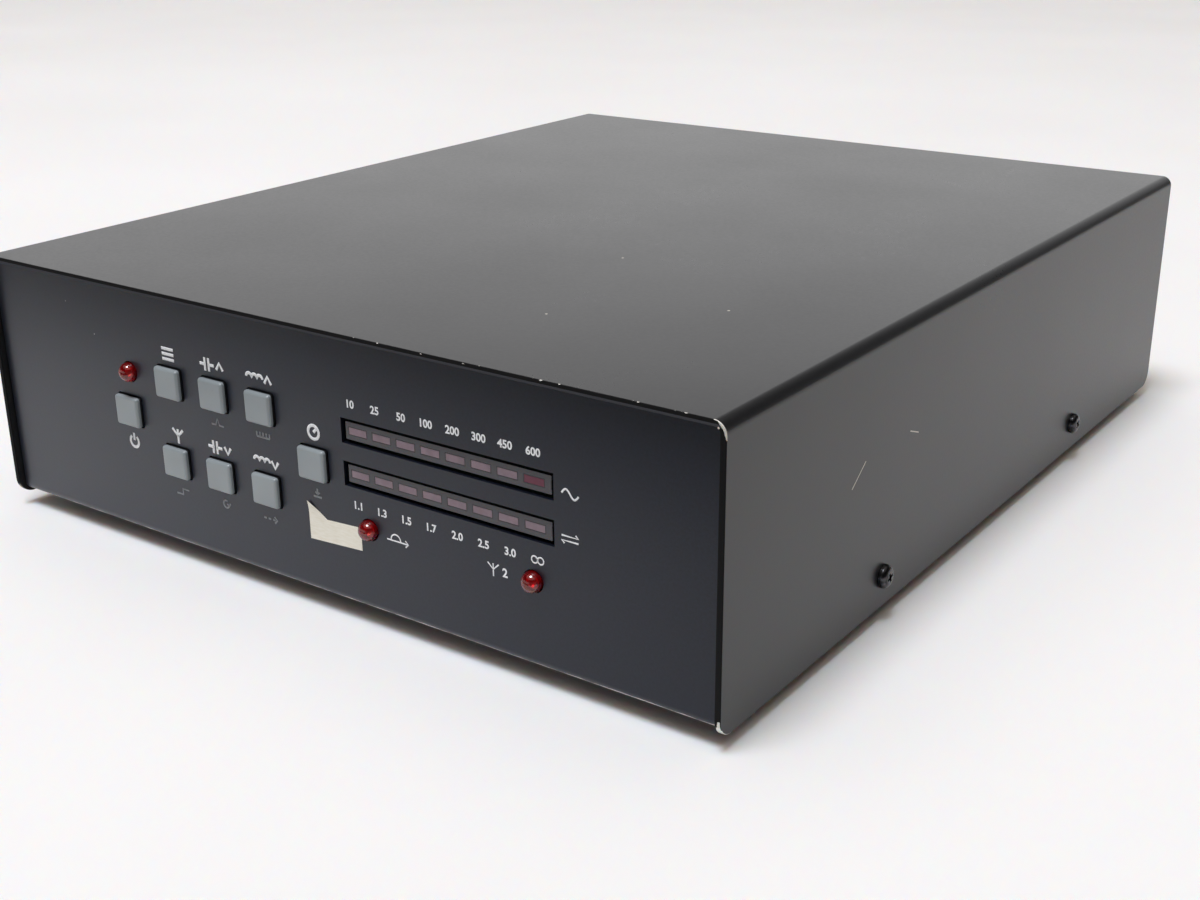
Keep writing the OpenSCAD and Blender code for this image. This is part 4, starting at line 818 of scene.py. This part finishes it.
# Plated hardware
# Nuts, studs, spacers, standoffs and screws of steel, which hold the boards, sockets and jacks. They
# are turned or headed, then tumbled in a bath that leaves a bright zinc plate.
zinc, tree, shader, place = material("bright_zinc_plate", 0.32, 1.0)
bloom = mottle(tree, shader, place, 1.5 * MM, 3.0, "#9a9c9f", "#c9cacc")[0]
rough = add(tree, "MapRange", {"Value": bloom, "To Min": 0.24, "To Max": 0.42}).outputs[0]
tree.links.new(rough, shader.inputs["Roughness"])
for name in ("clinch_nuts", "panel_studs", "panel_spacers", "panel_nuts", "board_screws", "standoffs",
             "socket_nuts", "ground_stud", "ground_nut", "ground_washer", "jack_nuts", "power_jack_pin"):
    dress(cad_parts[name], zinc)

# Coaxial sockets
# Three sockets turned from brass and plated with nickel: a square flange under four screws, a barrel
# with a 24 per inch thread and four notches in its rim, a white insulator and a plated contact.
PITCH, MOUTH, PLATE, SCREW_REACH = 25.4 / 24, 16.0, 2.5, 9.13
thread = []
height = 3.6
while height < 14.6:
    thread += [(7.4, height), (7.9, height + PITCH * 0.4), (7.9, height + PITCH * 0.6)]
    height += PITCH
barrel = lathe("barrel", [(4.05, -3.6), (7.4, -3.6), (7.4, 0), (7.75, 0), (7.75, 2.6), (7.4, 3.0)] + thread
               + [(7.4, height), (7.4, 15.8), (7.2, MOUTH), (6.6, MOUTH), (6.4, 15.8), (6.4, 11.0),
                  (5.85, 11.0), (5.85, 7.0), (4.05, 7.0), (4.05, -3.6)], 64)
for turn in (0.0, math.pi / 2):
    cutter = block("notch", (0, 0, MOUTH * MM), (20 * MM, 1.3 * MM, 1.8 * MM))
    pick("edges", lambda e: max(v.co.z for v in e.verts) < MOUTH * MM
         and abs(e.verts[0].co.x - e.verts[1].co.x) > MM)
    bpy.ops.mesh.bevel(offset=0.3 * MM, segments=2, affect="EDGES")
    bpy.ops.object.mode_set(mode="OBJECT")
    settle(cutter, (0, 0, 0), (0, 0, turn))
    modify(barrel, "BOOLEAN", object=cutter, operation="DIFFERENCE", solver="EXACT")
    bpy.data.objects.remove(cutter)
smooth(barrel, 25)
flange = block("flange", (0, 0, PLATE / 2 * MM), (25.4 * MM, 25.4 * MM, PLATE * MM))
pick("edges", lambda e: abs(e.verts[0].co.z - e.verts[1].co.z) > MM)
bpy.ops.mesh.bevel(offset=2 * MM, segments=6, affect="EDGES")
round_edges(flange, 0.25 * MM, 50)
bpy.ops.mesh.primitive_cylinder_add(vertices=48, radius=7.5 * MM, depth=8 * MM)
cutter = start("opening")
pick("faces", lambda f: abs(f.normal.z) > 0.5)
bpy.ops.mesh.inset(thickness=0.5 * MM)
bpy.ops.object.mode_set(mode="OBJECT")
modify(flange, "BOOLEAN", object=cutter, operation="DIFFERENCE", solver="EXACT")
bpy.data.objects.remove(cutter)
shell = gather([flange, barrel], "socket_shell")
# Nickel plate over turned brass: warm silver, with a mild stain that dulls it in patches.
nickel, tree, shader, place = material("nickel_plated_brass", 0.24, 1.0)
stain = mottle(tree, shader, place, 5 * MM, 4.0, "#a9a69f", "#cfcdc8", 0.3, 0.7)[0]
rough = add(tree, "MapRange", {"Value": stain, "To Min": 0.18, "To Max": 0.36}).outputs[0]
tree.links.new(rough, shader.inputs["Roughness"])
dress(shell, nickel)
for name in SOCKETS:
    low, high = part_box(name)
    made = duplicate(shell, name + "_shell")
    settle(made, ((low.x + high.x) / 2, rear_y, (low.z + high.z) / 2), (-math.pi / 2, 0, 0))
    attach(made, "case")
    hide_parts(name)
bpy.data.objects.remove(shell)
dress(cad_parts["wing_nut"], nickel)
# White PTFE: waxy and faintly cloudy.
ptfe, tree, shader, place = material("white_ptfe", 0.5)
mottle(tree, shader, place, 3 * MM, 2.0, "#e2e0d8", "#f0efea")
dress(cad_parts["socket_insulators"], ptfe)
# Gold flash on the contacts, rubbed paler in patches by the plugs.
gold, tree, shader, place = material("gold_flashed_contact", 0.25, 1.0)
mottle(tree, shader, place, 1 * MM, 2.0, "#c79a45", "#e0c07a")
dress(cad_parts["socket_contacts"], gold)
screw = pan_head("flange_screw", 5.4, 1.8, 2.8, 7.5)
flange_screws = []
for name in SOCKETS:
    low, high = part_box(name)
    for side_x in (-1, 1):
        for side_z in (-1, 1):
            spot = ((low.x + high.x) / 2 + side_x * SCREW_REACH * MM, rear_y + PLATE * MM,
                    (low.z + high.z) / 2 + side_z * SCREW_REACH * MM)
            made = duplicate(screw, "flange_screw_copy")
            settle(made, (0, 0, 0), (0, 0, 0.4 + side_x * 0.5 + side_z * 0.9))
            settle(made, spot, (-math.pi / 2, 0, 0))
            flange_screws.append(made)
bpy.data.objects.remove(screw)
flange_screws = gather(flange_screws, "flange_screws")
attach(flange_screws, "case")
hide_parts("socket_screws")
dress(flange_screws, zinc)

# Studio
# A pale cloth on a darker table, laid to a hand's length before the object, with a plain wall round it. A
# wide soft light hangs overhead toward the viewer. Over the wall the room is bright behind the object on
# the left, and dim elsewhere.
CLOTH_EDGE, CLOTH_THICK, SPREAD = -0.29, 0.6 * MM, 5
for name, finish, depth, dark, pale in (
        ("floor", "pale_floor", 0.0, "#e4e3e1", "#efefee"),
        ("table", "brown_grey_table", -CLOTH_THICK, "#2b2826", "#383431")):
    bpy.ops.object.select_all(action="DESELECT")
    bpy.ops.mesh.primitive_plane_add(size=SPREAD, location=(0, 0, depth))
    floor = start(name)
    bpy.ops.mesh.subdivide(number_cuts=3)
    bpy.ops.mesh.select_all(action="SELECT")
    if name == "floor":
        bpy.ops.mesh.bisect(plane_co=(0, CLOTH_EDGE, 0), plane_no=(0, -1, 0), clear_outer=True)
    bpy.ops.object.mode_set(mode="OBJECT")
    cloth, tree, shader, place = material(finish, 0.9)
    mottle(tree, shader, place, 300 * MM, 2.0, dark, pale)
    if name == "floor":
        # Light spreads a little way through the nap of the cloth, and its red part farthest.
        shader.inputs["Subsurface Weight"].default_value = 0.7
        shader.inputs["Subsurface Scale"].default_value = 7 * MM
        shader.inputs["Subsurface Radius"].default_value = (1.0, 0.62, 0.4)
    dress(floor, cloth)

# The light of the room, by direction.
world = bpy.data.worlds.new("room")
bpy.context.scene.world = world
world.use_nodes = True
tree = world.node_tree
way = add(tree, "TexCoord", {}).outputs["Generated"]
aim = add(tree, "SeparateXYZ", {"Vector": way})
overhead = add(tree, "MapRange", {"Value": aim.outputs["Z"], "From Min": 0.6, "From Max": 0.9},
               interpolation_type="SMOOTHSTEP").outputs[0]
rearward = add(tree, "VectorMath", {0: way, 1: (-0.5, 0.866, 0.0)}, operation="DOT_PRODUCT").outputs["Value"]
behind = add(tree, "MapRange", {"Value": rearward, "From Min": 0.66, "From Max": 0.88, "To Min": 0.1,
                                "To Max": 1.0}, interpolation_type="SMOOTHSTEP").outputs[0]
band = add(tree, "MapRange", {"Value": aim.outputs["Z"], "From Min": 0.1, "From Max": 0.5, "To Min": 1.8,
                              "To Max": 0.1}).outputs[0]
band = add(tree, "Math", {0: band, 1: behind}, operation="MULTIPLY").outputs[0]
level = add(tree, "Mix", {0: overhead, 2: band, 3: 1.0}).outputs[0]
hue = add(tree, "Mix", {0: overhead, 6: tint("#f7f7f8"), 7: tint("#fff4ea")}, data_type="RGBA").outputs[2]
# A plain wall stands all round past the floor, low behind and beside the object and higher in front.
# It is pale, and in shade to the right of the object.
rise = add(tree, "MapRange", {"Value": rearward, "From Min": -0.2, "From Max": 0.1, "To Min": 0.18,
                              "To Max": 0.0}, interpolation_type="SMOOTHSTEP").outputs[0]
over = add(tree, "Math", {0: aim.outputs["Z"], 1: rise}, operation="SUBTRACT").outputs[0]
wall = add(tree, "MapRange", {"Value": over, "From Min": 0.08, "From Max": 0.16, "To Min": 1.0,
                              "To Max": 0.0}, interpolation_type="SMOOTHSTEP").outputs[0]
shaded = add(tree, "MapRange", {"Value": aim.outputs["X"], "From Min": -0.05, "From Max": 0.25,
                                "To Min": 0.92, "To Max": 0.15}, interpolation_type="SMOOTHSTEP").outputs[0]
level = add(tree, "Mix", {0: wall, 2: level, 3: shaded}).outputs[0]
hue = add(tree, "Mix", {0: wall, 6: hue, 7: tint("#f4f3f1")}, data_type="RGBA").outputs[2]
tree.links.new(level, tree.nodes["Background"].inputs["Strength"])
tree.links.new(hue, tree.nodes["Background"].inputs["Color"])

bpy.ops.object.light_add(type="AREA", location=(-0.05, -1.1, 4.0))
key = bpy.context.object
key.name = "soft_light"
key.data.shape = "DISK"
key.data.size = 1.4
key.data.energy = 132
key.data.color = tint("#f4f7ff")[:3]
key.rotation_euler = (Vector((0, 0, 0.04)) - key.location).to_track_quat("-Z", "Y").to_euler()

# Camera
# It stands at the photograph's place, which was found from the edges of the case, before the right
# front corner and a little above the top, and leans by half a degree.
EYE = (0.282983, -0.419148, 0.191968)
GAZE = Vector((-0.542662, 0.758058, -0.361754))
LEAN, FOCAL = -0.4834, 47.395
bpy.ops.object.camera_add(location=EYE)
camera = bpy.context.object
look = GAZE.to_track_quat("-Z", "Y")
camera.rotation_mode = "QUATERNION"
camera.rotation_quaternion = look @ Quaternion((0, 0, 1), math.radians(LEAN))
camera.data.sensor_width = 36
camera.data.lens = FOCAL
camera.data.clip_start = 0.01
camera.data.clip_end = 50
bpy.context.scene.camera = camera
bpy.context.scene.view_settings.view_transform = "Standard"
